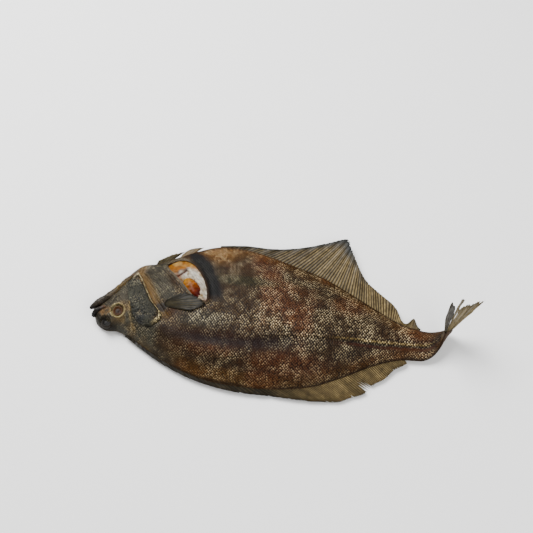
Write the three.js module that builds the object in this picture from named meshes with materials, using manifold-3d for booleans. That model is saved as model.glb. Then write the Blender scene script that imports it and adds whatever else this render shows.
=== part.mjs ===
// A whole smoked flatfish lying on its blind side: gutted through a slit behind the head,
// fins dried stiff, and the tail curled up as it dries when the fish hangs by it.
//
// Frame: millimetres, +X towards the tail, +Y towards the belly edge, +Z up out of the eyed
// side. The origin is on the flat of the blind side that the fish rests on, under mid-body.
//
// A place on the fish is given as [station, share]: the share of BODY_LENGTH from the snout,
// and the share of BODY_WIDTH from the origin's line towards the belly edge.

import * as THREE from 'three';
import { LoftGeometry } from 'three/addons/geometries/LoftGeometry.js';
import { mergeVertices } from 'three/addons/utils/BufferGeometryUtils.js';
import Module from 'manifold-3d';

const wasm = await Module();
wasm.setup();

// ---- Driving dimensions ----------------------------------------------------------------

const BODY_LENGTH = 247; // snout to where the tail stalk starts to curl
const BODY_WIDTH = 112; // back edge to belly edge, without fins
const BODY_THICKNESS = 19; // at the thickest, over the spine
const RIM_THICKNESS = 3.2; // of the body's edge, where the fins are rooted
const RIM_HEIGHT = 4; // middle of that edge above the table

const STALK_RUN = 18.8; // how far the curl carries the middle of the tail's root on
const STALK_SWING = 11.6; // how far it swings it towards the belly side
const STALK_RISE = 8.5; // and how far it lifts it
const STALK_WIDTH = 15; // of the tail's root
const STALK_THICKNESS = 4.6;

const GAP = 0.35; // clearance between neighbouring pieces
const FIN_SEAT = 2.6; // how deep a fin is rooted in the body
const FIN_ROOT_THICKNESS = 1.5;
const FIN_EDGE_THICKNESS = 0.7;

const ANAL_FIN_REACH = 40; // of the longest ray past the body's edge
const BACK_FIN_REACH = 16.5;
const PELVIC_FIN_REACH = 3.2;
const BLIND_PELVIC_FIN_REACH = 4.5;
const TAIL_FIN_LENGTH = 40.5; // of the ray at its back edge

const GILL_COVER_THICKNESS = 1.2;
const PECTORAL_THICKNESS = 0.9;
const TABLE_GAP = 0.35; // below the blind side's gill cover

const LOWER_EYE_RADIUS = 4.8;
const UPPER_EYE_RADIUS = 4.3;
const EYE_FLATNESS = 0.7; // an eye's height over its width, as it dries
const EYE_PROUD = 0.8; // how far the dried eye stands out of its socket
const UPPER_EYE_LIFT = 1; // the migrated eye sits on a hump

const JAW_WIDTH = 4.6;
const JAW_DEPTH = 8;
const LIP_WIDTH = 3;
const LIP_DEPTH = 5.4;
const MOUTH_GAPE = 2.2;

const BELLY_WALL = 4.6; // flesh left under the gutting slit
const ROE_LENGTH = 20;
const ROE_WIDTH = 9;
const ROE_HEIGHT = 6.5;

const HEAD_STATIONS = 13; // loft sections from the snout to the shoulder
const HEAD_CROWDING = 1.25; // over 1, they stand closer together at the snout
const BODY_STATIONS = 20; // and from there to the stalk
const STALK_STATIONS = 8;
const RING_POINTS = 32; // around each section
const ANAL_FIN_COLUMNS = 32; // steps from a fin's first ray to its last
const BACK_FIN_COLUMNS = 34;
const TAIL_FIN_COLUMNS = 10;
const PELVIC_FIN_COLUMNS = 8;

// ---- The body's form -------------------------------------------------------------------

const HEAD_LIFT = TABLE_GAP + GILL_COVER_THICKNESS + GAP; // of the head's blind side
const SHOULDER_STATION = 0.25;
const ORIGIN_STATION = 0.526;

// [station, back edge, spine, belly edge, crown, lift]: the edges as shares of the width,
// the crown of BODY_THICKNESS and the lift of HEAD_LIFT; under 0 the flesh is pressed flat.
const FORM = [
  [0.0, -0.1, -0.07, -0.045, 0.46, 1.8],
  [0.02, -0.138, -0.045, 0.03, 0.6, 1.6],
  [0.045, -0.163, -0.03, 0.095, 0.7, 1.35],
  [0.074, -0.162, -0.035, 0.2, 0.79, 1.15],
  [0.106, -0.185, -0.05, 0.306, 0.84, 1.05],
  [0.17, -0.262, -0.085, 0.366, 0.88, 1.05],
  [0.216, -0.318, -0.11, 0.416, 0.91, 1.0],
  [0.271, -0.372, -0.122, 0.474, 0.94, 1.0],
  [0.342, -0.424, -0.13, 0.532, 0.97, 0.8],
  [0.428, -0.45, -0.133, 0.538, 1.0, -0.3],
  [0.514, -0.455, -0.12, 0.5, 1.0, -0.4],
  [0.6, -0.442, -0.1, 0.443, 0.97, -0.4],
  [0.686, -0.402, -0.08, 0.38, 0.9, -0.35],
  [0.772, -0.319, -0.066, 0.286, 0.79, -0.25],
  [0.858, -0.221, -0.054, 0.183, 0.66, 0.1],
  [0.944, -0.158, -0.042, 0.092, 0.5, 0.6],
  [1, -0.15, -0.035, 0.064, 0.44, 0.85],
];

const formCurve = new THREE.CubicInterpolant(
  FORM.map((row) => row[0]),
  FORM.flatMap((row) => row.slice(1)),
  FORM[0].length - 1,
);

const lengthwise = (station) => (station - ORIGIN_STATION) * BODY_LENGTH;
const place = ([station, share]) => [lengthwise(station), share * BODY_WIDTH];

/** The section of the body at a station, in millimetres. */
function sectionAt(station) {
  const [back, spine, belly, crown, lift] = formCurve.evaluate(station);
  return {
    x: lengthwise(station),
    back: back * BODY_WIDTH,
    spine: spine * BODY_WIDTH,
    belly: belly * BODY_WIDTH,
    crown: crown * BODY_THICKNESS,
    lift: lift * HEAD_LIFT,
  };
}

const EYED_FULLNESS = 2.3; // powers of the sections' curves: the eyed side is domed,
const BLIND_FULLNESS = 5; // the blind side flat nearly to its edges

/**
 * Height of the body's skin at a share of the way across a section: `across` is 1 at the
 * belly edge, 0 over the spine and -1 at the back edge.
 */
function skinHeight(section, across, upper) {
  const outward = Math.min(1, Math.abs(across));
  const rim = (RIM_THICKNESS / 2) * Math.sqrt(1 - outward ** 2);
  if (upper) {
    const dome = 1 - outward ** EYED_FULLNESS;
    return RIM_HEIGHT + rim + (section.crown - RIM_HEIGHT - RIM_THICKNESS / 2) * dome;
  }
  const flat = 1 - outward ** BLIND_FULLNESS;
  return RIM_HEIGHT - rim - (RIM_HEIGHT - RIM_THICKNESS / 2 - section.lift) * flat;
}

/** Height of the eyed side's skin over a place on the fish. */
function skinTop([station, share]) {
  const section = sectionAt(station);
  const y = share * BODY_WIDTH;
  const edge = y > section.spine ? section.belly : section.back;
  return skinHeight(section, (y - section.spine) / Math.abs(edge - section.spine), true);
}

/** One ring of the body's loft, counterclockwise seen from the tail, `grow` mm proud. */
function bodyRing(section, grow) {
  const points = [];
  for (let i = 0; i < RING_POINTS; i++) {
    const angle = (i / RING_POINTS) * 2 * Math.PI;
    const across = Math.cos(angle);
    const edge = across > 0 ? section.belly : section.back;
    const reach = Math.abs(edge - section.spine) + grow;
    const height = skinHeight(section, across, Math.sin(angle) >= 0) + grow * Math.sin(angle);
    points.push(new THREE.Vector3(section.x, section.spine + reach * across, height));
  }
  return points;
}

// The stalk turns from lying flat to standing on edge. These are its end's own directions:
// across it towards the belly edge, along it out of the body, and out of its eyed side.
const STALK_SIDE = new THREE.Vector3(0.63, 0.483, -0.604).normalize();
const STALK_AXIS = new THREE.Vector3(0.414, 0.448, 0.793)
  .projectOnPlane(STALK_SIDE)
  .normalize();
const STALK_NORMAL = new THREE.Vector3().crossVectors(STALK_AXIS, STALK_SIDE);

const STALK_NEAR_BEND = 0.55; // share of the run that it goes straight on at first
const STALK_FAR_BEND = 0.8; // share of the rise over which it ends straight
const STALK_LATE_TURN = 1.6; // over 1, it turns mostly near its end

const stalkStart = sectionAt(1);
const STALK_CENTRE = new THREE.Vector3(
  stalkStart.x,
  (stalkStart.back + stalkStart.belly) / 2,
  (stalkStart.crown + stalkStart.lift) / 2,
);
const STALK_END = new THREE.Vector3(STALK_RUN, STALK_SWING, STALK_RISE).add(STALK_CENTRE);
const stalkPath = new THREE.CubicBezierCurve3(
  STALK_CENTRE,
  new THREE.Vector3(STALK_RUN * STALK_NEAR_BEND, 0, 0).add(STALK_CENTRE),
  STALK_AXIS.clone().multiplyScalar(-STALK_RISE * STALK_FAR_BEND).add(STALK_END),
  STALK_END,
);
const stalkTurn = new THREE.Quaternion().setFromRotationMatrix(
  new THREE.Matrix4().makeBasis(STALK_AXIS, STALK_SIDE, STALK_NORMAL),
);

/** One ring of the tail stalk, `along` it from 0 at the body to 1 at the tail's root. */
function stalkRing(along, grow) {
  const centre = stalkPath.getPoint(along);
  const turn = new THREE.Quaternion().slerp(stalkTurn, along ** STALK_LATE_TURN);
  const startWidth = stalkStart.belly - stalkStart.back;
  const startThickness = stalkStart.crown - stalkStart.lift;
  const taper = new THREE.Vector3(
    1,
    THREE.MathUtils.lerp(1, STALK_WIDTH / startWidth, along),
    THREE.MathUtils.lerp(1, STALK_THICKNESS / startThickness, along),
  );
  return bodyRing(stalkStart, grow).map((point) =>
    point.sub(STALK_CENTRE).multiply(taper).applyQuaternion(turn).add(centre),
  );
}

/** The whole trunk, head to tail root, with its skin `grow` mm proud. */
function trunk(grow = 0) {
  const rings = [];
  for (let i = 0; i < HEAD_STATIONS; i++) {
    const station = SHOULDER_STATION * (i / HEAD_STATIONS) ** HEAD_CROWDING;
    rings.push(bodyRing(sectionAt(station), grow));
  }
  for (let i = 0; i < BODY_STATIONS; i++) {
    const station = THREE.MathUtils.lerp(SHOULDER_STATION, 1, i / BODY_STATIONS);
    rings.push(bodyRing(sectionAt(station), grow));
  }
  for (let i = 0; i <= STALK_STATIONS; i++) {
    rings.push(stalkRing(i / STALK_STATIONS, grow));
  }
  return loft(rings);
}

// ---- Solids and meshes -----------------------------------------------------------------

const MERGE_DISTANCE = 1e-4;

/** A closed geometry as a manifold-3d solid. */
function solid(geometry) {
  const bare = new THREE.BufferGeometry();
  bare.setAttribute('position', geometry.getAttribute('position'));
  bare.setIndex(geometry.getIndex());
  const merged = mergeVertices(bare, MERGE_DISTANCE);
  return new wasm.Manifold(
    new wasm.Mesh({
      numProp: 3,
      vertProperties: merged.attributes.position.array,
      triVerts: new Uint32Array(merged.index.array),
    }),
  );
}

/** A closed skin through rings of points. */
const loft = (rings) => solid(new LoftGeometry(rings, { capStart: true, capEnd: true }));

/** An upright prism over a flat outline. */
function prism(outline, bottom, top) {
  const geometry = new THREE.ExtrudeGeometry(outline, {
    depth: top - bottom,
    bevelEnabled: false,
    curveSegments: 10,
  });
  return solid(geometry.translate(0, 0, bottom));
}

/** A solid as a named three.js mesh. */
function piece(name, shape, material) {
  const { numProp, numVert, vertProperties, triVerts } = shape.getMesh();
  const positions = new Float32Array(numVert * 3);
  for (let i = 0; i < numVert; i++) {
    positions.set(vertProperties.subarray(i * numProp, i * numProp + 3), i * 3);
  }
  const geometry = new THREE.BufferGeometry();
  geometry.setAttribute('position', new THREE.BufferAttribute(positions, 3));
  geometry.setIndex(new THREE.BufferAttribute(triVerts, 1));
  geometry.computeVertexNormals();
  const mesh = new THREE.Mesh(geometry, material);
  mesh.name = name;
  return mesh;
}

/** The largest body of a solid, without slivers that a cut leaves beside it. */
function largest(shape) {
  return shape.decompose().reduce((a, b) => (a.volume() > b.volume() ? a : b));
}

// ---- Fins ------------------------------------------------------------------------------

/**
 * A fin as a thin sheet from a root line to an edge line.
 * `rays` rows are [root point, edge point]; `grow` thickens it and deepens its root.
 */
function fin(rays, columns, grow) {
  const rootLine = new THREE.CatmullRomCurve3(rays.map((ray) => ray[0]));
  const edgeLine = new THREE.CatmullRomCurve3(rays.map((ray) => ray[1]));
  const rows = 3;
  const rings = [];
  for (let i = 0; i <= columns; i++) {
    const along = i / columns;
    const forward = rootLine.getTangent(along);
    const root = rootLine.getPoint(along);
    const ray = edgeLine.getPoint(along).sub(root);
    const outward = ray.clone().projectOnPlane(forward).normalize();
    const face = new THREE.Vector3().crossVectors(forward, outward);
    const ahead = new THREE.Vector3().crossVectors(ray, face).normalize();
    if (i === 0) root.addScaledVector(ahead, -grow);
    if (i === columns) root.addScaledVector(ahead, grow);
    const ring = [];
    for (const side of [-1, 1]) {
      for (let j = 0; j <= rows; j++) {
        const out = side < 0 ? j / rows : 1 - j / rows;
        const half = THREE.MathUtils.lerp(FIN_ROOT_THICKNESS, FIN_EDGE_THICKNESS, out) / 2;
        ring.push(
          root
            .clone()
            .addScaledVector(outward, -FIN_SEAT * (1 - out) - grow)
            .addScaledVector(ray, out)
            .addScaledVector(face, side * (half + grow)),
        );
      }
    }
    rings.push(ring);
  }
  return loft(rings);
}

/**
 * Rays rooted in the body's edge, 'belly' or 'back'. Rows are [root station, tip station,
 * share of the fin's reach, tip's height over the rim in mm].
 */
function edgeRays(edge, reach, rows) {
  const outward = edge === 'belly' ? 1 : -1;
  return rows.map(([root, tip, share, rise]) => [
    new THREE.Vector3(lengthwise(root), sectionAt(root)[edge], RIM_HEIGHT),
    new THREE.Vector3(
      lengthwise(tip),
      sectionAt(tip)[edge] + outward * share * reach,
      RIM_HEIGHT + rise,
    ),
  ]);
}

const analRays = edgeRays('belly', ANAL_FIN_REACH, [
  [0.348, 0.354, 0.03, 0.3],
  [0.413, 0.439, 0.08, 0.6],
  [0.474, 0.524, 0.18, 1],
  [0.534, 0.609, 0.42, 1.8],
  [0.593, 0.696, 0.75, 3.5],
  [0.648, 0.751, 1, 5],
  [0.696, 0.767, 0.94, 5.5],
  [0.745, 0.775, 0.77, 5],
  [0.794, 0.796, 0.57, 4],
  [0.838, 0.826, 0.42, 3],
  [0.879, 0.866, 0.33, 2.5],
  [0.915, 0.916, 0.25, 2],
  [0.941, 0.943, 0.11, 1.5],
  [0.966, 0.972, 0.15, 1.5],
  [0.984, 0.994, 0.04, 0.5],
]);

const backRays = edgeRays('back', BACK_FIN_REACH, [
  [0.097, 0.103, 0.08, 0.2],
  [0.186, 0.219, 0.13, 0.2],
  [0.283, 0.324, 0.15, 0],
  [0.405, 0.453, 0.21, -0.4],
  [0.526, 0.583, 0.28, -0.8],
  [0.607, 0.68, 0.55, -1],
  [0.664, 0.741, 0.82, -1.2],
  [0.713, 0.785, 0.94, -1.4],
  [0.757, 0.826, 1, -1.4],
  [0.802, 0.862, 0.8, -1.2],
  [0.842, 0.887, 0.68, -1],
  [0.883, 0.917, 0.42, -0.6],
  [0.919, 0.939, 0.27, -0.2],
  [0.947, 0.96, 0.12, 0],
]);

// The pelvic fins are short fans, folded back along the belly edge before the slit.
const pelvicRays = edgeRays('belly', PELVIC_FIN_REACH, [
  [0.152, 0.162, 0.5, 2.6],
  [0.168, 0.196, 1, 3],
  [0.186, 0.235, 0.8, 2.6],
]);
const blindPelvicRays = edgeRays('belly', BLIND_PELVIC_FIN_REACH, [
  [0.219, 0.231, 0.5, -0.4],
  [0.233, 0.257, 1, -0.2],
  [0.247, 0.291, 0.6, -0.4],
]);

const TAIL_RAY_COUNT = 5; // guide rays that the sheet is drawn through
const TAIL_ROOT_SHARE = 0.85; // of the stalk's width
const TAIL_LEAN = [-35, -7]; // degrees off the stalk's axis, at the back and belly edges
const TAIL_CUP = [9, -9]; // degrees out of its plane
const TAIL_BELLY_SHARE = 0.91; // of the ray at its belly edge, to the one at its back edge

/** The tail fin's guide rays, fanned out of the stalk's end. */
function tailRays() {
  const rays = [];
  for (let i = 0; i < TAIL_RAY_COUNT; i++) {
    const along = i / (TAIL_RAY_COUNT - 1);
    const across = ((along * 2 - 1) * TAIL_ROOT_SHARE * STALK_WIDTH) / 2;
    const lean = THREE.MathUtils.degToRad(THREE.MathUtils.lerp(...TAIL_LEAN, along));
    const cup = THREE.MathUtils.degToRad(THREE.MathUtils.lerp(...TAIL_CUP, along));
    const root = STALK_END.clone().addScaledVector(STALK_SIDE, across);
    const direction = STALK_AXIS.clone()
      .multiplyScalar(Math.cos(lean))
      .addScaledVector(STALK_SIDE, Math.sin(lean))
      .addScaledVector(STALK_NORMAL, Math.tan(cup))
      .normalize();
    const length = TAIL_FIN_LENGTH * THREE.MathUtils.lerp(1, TAIL_BELLY_SHARE, along);
    rays.push([root, root.clone().addScaledVector(direction, length)]);
  }
  return rays;
}

// ---- Gill covers, pectoral fins and the slit -------------------------------------------

const GILL_COVER = [
  [0.089, 0.152],
  [0.107, 0.259],
  [0.126, 0.223],
  [0.152, 0.125],
  [0.176, 0.036],
  [0.211, -0.058],
  [0.186, -0.134],
  [0.15, -0.129],
  [0.123, -0.062],
  [0.105, 0.027],
];

const PECTORAL_FIN = [
  [0.221, 0.013],
  [0.237, 0.071],
  [0.257, 0.121],
  [0.283, 0.111],
  [0.318, 0.076],
  [0.34, 0.049],
  [0.326, 0.013],
  [0.279, -0.009],
  [0.235, -0.018],
];

/** A closed smooth outline through places, drawn in by `share` about its middle. */
function outlineThrough(places, share = 1) {
  const corners = places.map((spot) => new THREE.Vector2(...place(spot)));
  const middle = corners
    .reduce((sum, corner) => sum.add(corner), new THREE.Vector2())
    .divideScalar(corners.length);
  const drawn = corners.map((corner) => corner.clone().lerp(middle, 1 - share));
  const curve = new THREE.SplineCurve([...drawn, drawn[0]]);
  return new THREE.Shape(curve.getPoints(corners.length * 4).slice(0, -1));
}

/** The gutting slit: straight along the shoulder, bowed along the belly wall. */
function slitOutline() {
  const outline = new THREE.Shape();
  outline.moveTo(...place([0.341, 0.077]));
  outline.bezierCurveTo(
    ...place([0.338, 0.196]),
    ...place([0.308, 0.339]),
    ...place([0.263, 0.393]),
  );
  outline.quadraticCurveTo(...place([0.223, 0.397]), ...place([0.192, 0.345]));
  outline.lineTo(...place([0.296, 0.104]));
  outline.quadraticCurveTo(...place([0.32, 0.08]), ...place([0.341, 0.077]));
  return outline;
}

const BLIND_GILL_COVER_SHARE = 0.85; // of the eyed side's outline
const BLIND_PECTORAL_SHARE = 0.8;
const EYED_PLATES_ABOVE = BODY_THICKNESS * 0.35; // heights that tell the two sides' plates
const BLIND_PLATES_BELOW = BODY_THICKNESS * 0.2; // apart

/** A thin plate lying on the skin, cut from a layer that follows the body. */
function plate(thickness, cutter) {
  return largest(trunk(GAP + thickness).subtract(trunk(GAP)).intersect(cutter));
}

const onEyedSide = (outline) => prism(outline, EYED_PLATES_ABOVE, BODY_THICKNESS * 2);
const onBlindSide = (outline) => prism(outline, -BODY_THICKNESS, BLIND_PLATES_BELOW);

// ---- Jaws, eyes and roe ----------------------------------------------------------------

const LOWER_EYE_PLACE = [0.075, -0.046];
const UPPER_EYE_PLACE = [0.043, -0.121];
const ROE_PLACE = [0.289, 0.175];
const ROE_TURN = -0.82; // radians, to lie along the slit
const JAW_TIP = 0.4; // shares of the full section at the bars' front ends
const LIP_TIP = 0.7;
const MOUTH_TIP = 0.8;

// Rows are [station, share of the width, share of the thickness].
const JAW_PATH = [
  [-0.02, -0.027, 0.42],
  [0.003, 0.009, 0.44],
  [0.034, 0.066, 0.44],
  [0.071, 0.154, 0.41],
];
const LIP_PATH = [
  [-0.003, -0.08, 0.43],
  [0.002, -0.054, 0.47],
  [0.02, -0.03, 0.52],
  [0.047, 0.002, 0.56],
];
const MOUTH_PATH = [
  [-0.024, -0.046, 0.47],
  [0.004, -0.018, 0.47],
  [0.036, 0.029, 0.53],
];

/** A bar of oval section along a path, thinner at its front end, `grow` mm proud. */
function bar(path, width, depth, frontTaper, grow) {
  const line = new THREE.CatmullRomCurve3(
    path.map(([station, share, height]) =>
      new THREE.Vector3(...place([station, share]), height * BODY_THICKNESS),
    ),
  );
  const steps = 9;
  const sides = 12;
  const rings = [];
  for (let i = 0; i <= steps; i++) {
    const along = i / steps;
    const forward = line.getTangent(along);
    const side = new THREE.Vector3(-forward.y, forward.x, 0).normalize();
    const size = THREE.MathUtils.lerp(frontTaper, 1, Math.sin((along * Math.PI) / 2));
    const centre = line.getPoint(along).addScaledVector(forward, grow * (2 * along - 1));
    const ring = [];
    for (let j = 0; j < sides; j++) {
      const angle = (j / sides) * 2 * Math.PI;
      ring.push(
        centre
          .clone()
          .addScaledVector(side, Math.cos(angle) * ((width * size) / 2 + grow))
          .add(new THREE.Vector3(0, 0, Math.sin(angle) * ((depth * size) / 2 + grow))),
      );
    }
    rings.push(ring);
  }
  return loft(rings);
}

/** An ellipsoid over a place, its middle at `height`, turned about Z by `turn` radians. */
function ellipsoid(spot, height, [length, width, depth], turn, grow) {
  return solid(
    new THREE.SphereGeometry(1, 16, 10)
      .rotateX(Math.PI / 2)
      .scale(length / 2 + grow, width / 2 + grow, depth / 2 + grow)
      .rotateZ(turn)
      .translate(...place(spot), height),
  );
}

/** An eye in its socket, dried to a flattened ball. */
function eye(spot, radius, lift, grow) {
  const depth = 2 * radius * EYE_FLATNESS;
  const middle = skinTop(spot) + EYE_PROUD + lift - depth / 2;
  return ellipsoid(spot, middle, [2 * radius, 2 * radius, depth], 0, grow);
}

// ---- Materials -------------------------------------------------------------------------

const finish = (color, roughness) =>
  new THREE.MeshStandardMaterial({ color, roughness, metalness: 0 });
const skin = finish(0x4a3524, 0.5);
const headSkin = finish(0x37302a, 0.5);
const finSkin = finish(0x8a7650, 0.45);
const jawSkin = finish(0x2c2520, 0.45);
const driedEye = finish(0x4a2a14, 0.3);
const roeFlesh = finish(0xb06a24, 0.35);

// ---- Assembly --------------------------------------------------------------------------

// Pieces seated in the body: each is made once at its size, and once grown by the clearance
// to cut its seat.
const roeSize = [ROE_LENGTH, ROE_WIDTH, ROE_HEIGHT];
const seated = {
  lower_jaw: [(grow) => bar(JAW_PATH, JAW_WIDTH, JAW_DEPTH, JAW_TIP, grow), jawSkin],
  upper_jaw: [(grow) => bar(LIP_PATH, LIP_WIDTH, LIP_DEPTH, LIP_TIP, grow), jawSkin],
  lower_eye: [(grow) => eye(LOWER_EYE_PLACE, LOWER_EYE_RADIUS, 0, grow), driedEye],
  upper_eye: [
    (grow) => eye(UPPER_EYE_PLACE, UPPER_EYE_RADIUS, UPPER_EYE_LIFT, grow),
    driedEye,
  ],
  anal_fin: [(grow) => fin(analRays, ANAL_FIN_COLUMNS, grow), finSkin],
  dorsal_fin: [(grow) => fin(backRays, BACK_FIN_COLUMNS, grow), finSkin],
  tail_fin: [(grow) => fin(tailRays(), TAIL_FIN_COLUMNS, grow), finSkin],
  pelvic_fin: [(grow) => fin(pelvicRays, PELVIC_FIN_COLUMNS, grow), finSkin],
  blind_pelvic_fin: [(grow) => fin(blindPelvicRays, PELVIC_FIN_COLUMNS, grow), finSkin],
  roe: [
    (grow) =>
      ellipsoid(ROE_PLACE, BELLY_WALL + GAP + ROE_HEIGHT / 2, roeSize, ROE_TURN, grow),
    roeFlesh,
  ],
};

/** The body with the blind side pressed flat, the slit, the mouth and every seat cut. */
function carvedBody() {
  const tableTop = new THREE.Shape().absarc(0, 0, BODY_LENGTH * 2, 0, Math.PI * 2);
  let body = trunk()
    .subtract(prism(tableTop, -BODY_THICKNESS, 0))
    .subtract(prism(slitOutline(), BELLY_WALL, BODY_THICKNESS * 2))
    .subtract(bar(MOUTH_PATH, MOUTH_GAPE, JAW_DEPTH * 3, MOUTH_TIP, 0));
  for (const [make] of Object.values(seated)) {
    body = body.subtract(make(GAP));
  }
  return largest(body);
}

const gillCover = outlineThrough(GILL_COVER);
const blindGillCover = outlineThrough(GILL_COVER, BLIND_GILL_COVER_SHARE);
const pectoralFin = outlineThrough(PECTORAL_FIN);
const blindPectoralFin = outlineThrough(PECTORAL_FIN, BLIND_PECTORAL_SHARE);

const fish = new THREE.Group();
fish.name = 'smoked_fish';
fish.add(
  piece('body', carvedBody(), skin),
  piece('gill_cover', plate(GILL_COVER_THICKNESS, onEyedSide(gillCover)), headSkin),
  piece('blind_gill_cover', plate(GILL_COVER_THICKNESS, onBlindSide(blindGillCover)), headSkin),
  piece('pectoral_fin', plate(PECTORAL_THICKNESS, onEyedSide(pectoralFin)), finSkin),
  piece('blind_pectoral_fin', plate(PECTORAL_THICKNESS, onBlindSide(blindPectoralFin)), finSkin),
);
for (const [name, [make, material]] of Object.entries(seated)) {
  fish.add(piece(name, make(0), material));
}

export default fish;
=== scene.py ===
"""A whole smoked flatfish lying on a plain table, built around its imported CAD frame.

Shapes are worked out in millimetres on the frame's own axes: +X towards the tail, +Y towards
the belly edge, +Z up out of the eyed side. They are written to the meshes in metres. Along the
fish a place is given by its station, which is 0 at the snout and 1 where the tail stalk starts
to curl, and across it by a share of the body's width from the frame's X axis.
"""

import itertools
import logging
import math
from dataclasses import dataclass
from enum import Enum
from typing import Callable, Sequence

import bmesh
import bpy
import numpy as np
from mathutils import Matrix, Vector
from mathutils.kdtree import KDTree

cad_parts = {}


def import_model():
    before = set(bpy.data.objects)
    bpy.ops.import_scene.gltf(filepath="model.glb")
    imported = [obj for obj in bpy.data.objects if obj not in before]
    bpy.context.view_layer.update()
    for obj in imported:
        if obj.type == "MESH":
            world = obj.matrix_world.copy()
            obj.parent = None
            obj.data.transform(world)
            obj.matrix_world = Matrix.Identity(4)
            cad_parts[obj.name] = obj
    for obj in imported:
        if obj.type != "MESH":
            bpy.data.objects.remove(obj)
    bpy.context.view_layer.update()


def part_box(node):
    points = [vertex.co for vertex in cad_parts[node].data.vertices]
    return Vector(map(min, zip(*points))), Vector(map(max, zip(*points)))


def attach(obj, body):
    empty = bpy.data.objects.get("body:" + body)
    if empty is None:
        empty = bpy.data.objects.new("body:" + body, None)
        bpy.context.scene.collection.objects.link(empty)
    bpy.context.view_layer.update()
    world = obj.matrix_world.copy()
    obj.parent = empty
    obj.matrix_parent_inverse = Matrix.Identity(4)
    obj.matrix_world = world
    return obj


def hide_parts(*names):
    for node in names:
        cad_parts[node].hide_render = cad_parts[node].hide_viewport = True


MM = 0.001
PAINT_DEPTH = 0.3  # how much darker a paint is than it looks under the lamps
PAINT_RICHNESS = 1.45  # how much further it is from grey
log = logging.getLogger("smoked_fish")

Socket = bpy.types.NodeSocket


# ---- Numbers over many points ----------------------------------------------------------


def ramp(low: float, high: float, value: np.ndarray) -> np.ndarray:
    """Rises smoothly from 0 at low to 1 at high; falls where low is the larger."""
    share = np.clip((value - low) / (high - low), 0.0, 1.0)
    return share * share * (3.0 - 2.0 * share)


def bell(value: np.ndarray, width: float) -> np.ndarray:
    """A smooth hump of height 1 around 0."""
    return np.exp(-((value / width) ** 2))


def blend(first: np.ndarray, second: np.ndarray, share: np.ndarray) -> np.ndarray:
    """Mixes rows of colours or points, by a share for each row."""
    return first + (second - first) * share[:, None]


def tint(code: str) -> np.ndarray:
    """The paint that looks like a colour code such as 6b5a3c in the studio's bright light.

    Args:
        code: Red, green and blue as it should look, two hexadecimal digits each.

    Returns:
        The surface's own colour in linear light, deeper and richer than it looks.
    """
    channels = np.array([int(code[i : i + 2], 16) / 255.0 for i in (0, 2, 4)])
    linear = ((channels + 0.055) / 1.055) ** 2.4
    grey = linear @ np.array([0.2126, 0.7152, 0.0722])
    return np.clip(PAINT_DEPTH * (grey + (linear - grey) * PAINT_RICHNESS), 0.0004, 1.0)


def hermite(stops: np.ndarray, values: np.ndarray, at: np.ndarray) -> np.ndarray:
    """A smooth curve through values at rising stops.

    Args:
        stops: The places of the values, in rising order.
        values: One row for each stop.
        at: Where the curve is read; past the ends it stays level.

    Returns:
        One row for each entry of at.
    """
    slopes = np.gradient(values, stops, axis=0)
    place = np.clip(at, stops[0], stops[-1])
    left = np.clip(np.searchsorted(stops, place, side="right") - 1, 0, len(stops) - 2)
    span = (stops[left + 1] - stops[left])[:, None]
    t = (place - stops[left])[:, None] / span
    rise = t * t * (3.0 - 2.0 * t)
    bulge = slopes[left] * (t * (1.0 - t) ** 2) + slopes[left + 1] * (t * t * (t - 1.0))
    return values[left] * (1.0 - rise) + values[left + 1] * rise + bulge * span


def through(points: Sequence[Sequence[float]], share: np.ndarray) -> np.ndarray:
    """A smooth line through points, read at shares of the way along it."""
    stops = np.linspace(0.0, 1.0, len(points))
    return hermite(stops, np.array(points, dtype=float), share)


def heading(points: Sequence[Sequence[float]], share: np.ndarray, step: float) -> np.ndarray:
    """How a smooth line through points runs on, over a step to either side of each share."""
    ahead = through(points, np.minimum(share + step, 1.0))
    return ahead - through(points, np.maximum(share - step, 0.0))


def unit(rows: np.ndarray) -> np.ndarray:
    """The rows' directions, each of length 1."""
    return rows / np.linalg.norm(rows, axis=1)[:, None]


def out_and_back(around: np.ndarray) -> np.ndarray:
    """Shares out over a sheet's face and back underneath: 0, up to 1 at its edge, and 0."""
    return 1.0 - np.abs(1.0 - 2.0 * around)


def line_distance(spots: np.ndarray, line: np.ndarray) -> np.ndarray:
    """How far each spot lies from a line of straight stretches."""
    nearest = np.full(len(spots), np.inf)
    for start, end in zip(line[:-1], line[1:]):
        along = end - start
        share = np.clip(((spots - start) @ along) / (along @ along), 0.0, 1.0)
        gap = np.linalg.norm(spots - start - share[:, None] * along, axis=1)
        nearest = np.minimum(nearest, gap)
    return nearest


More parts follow.
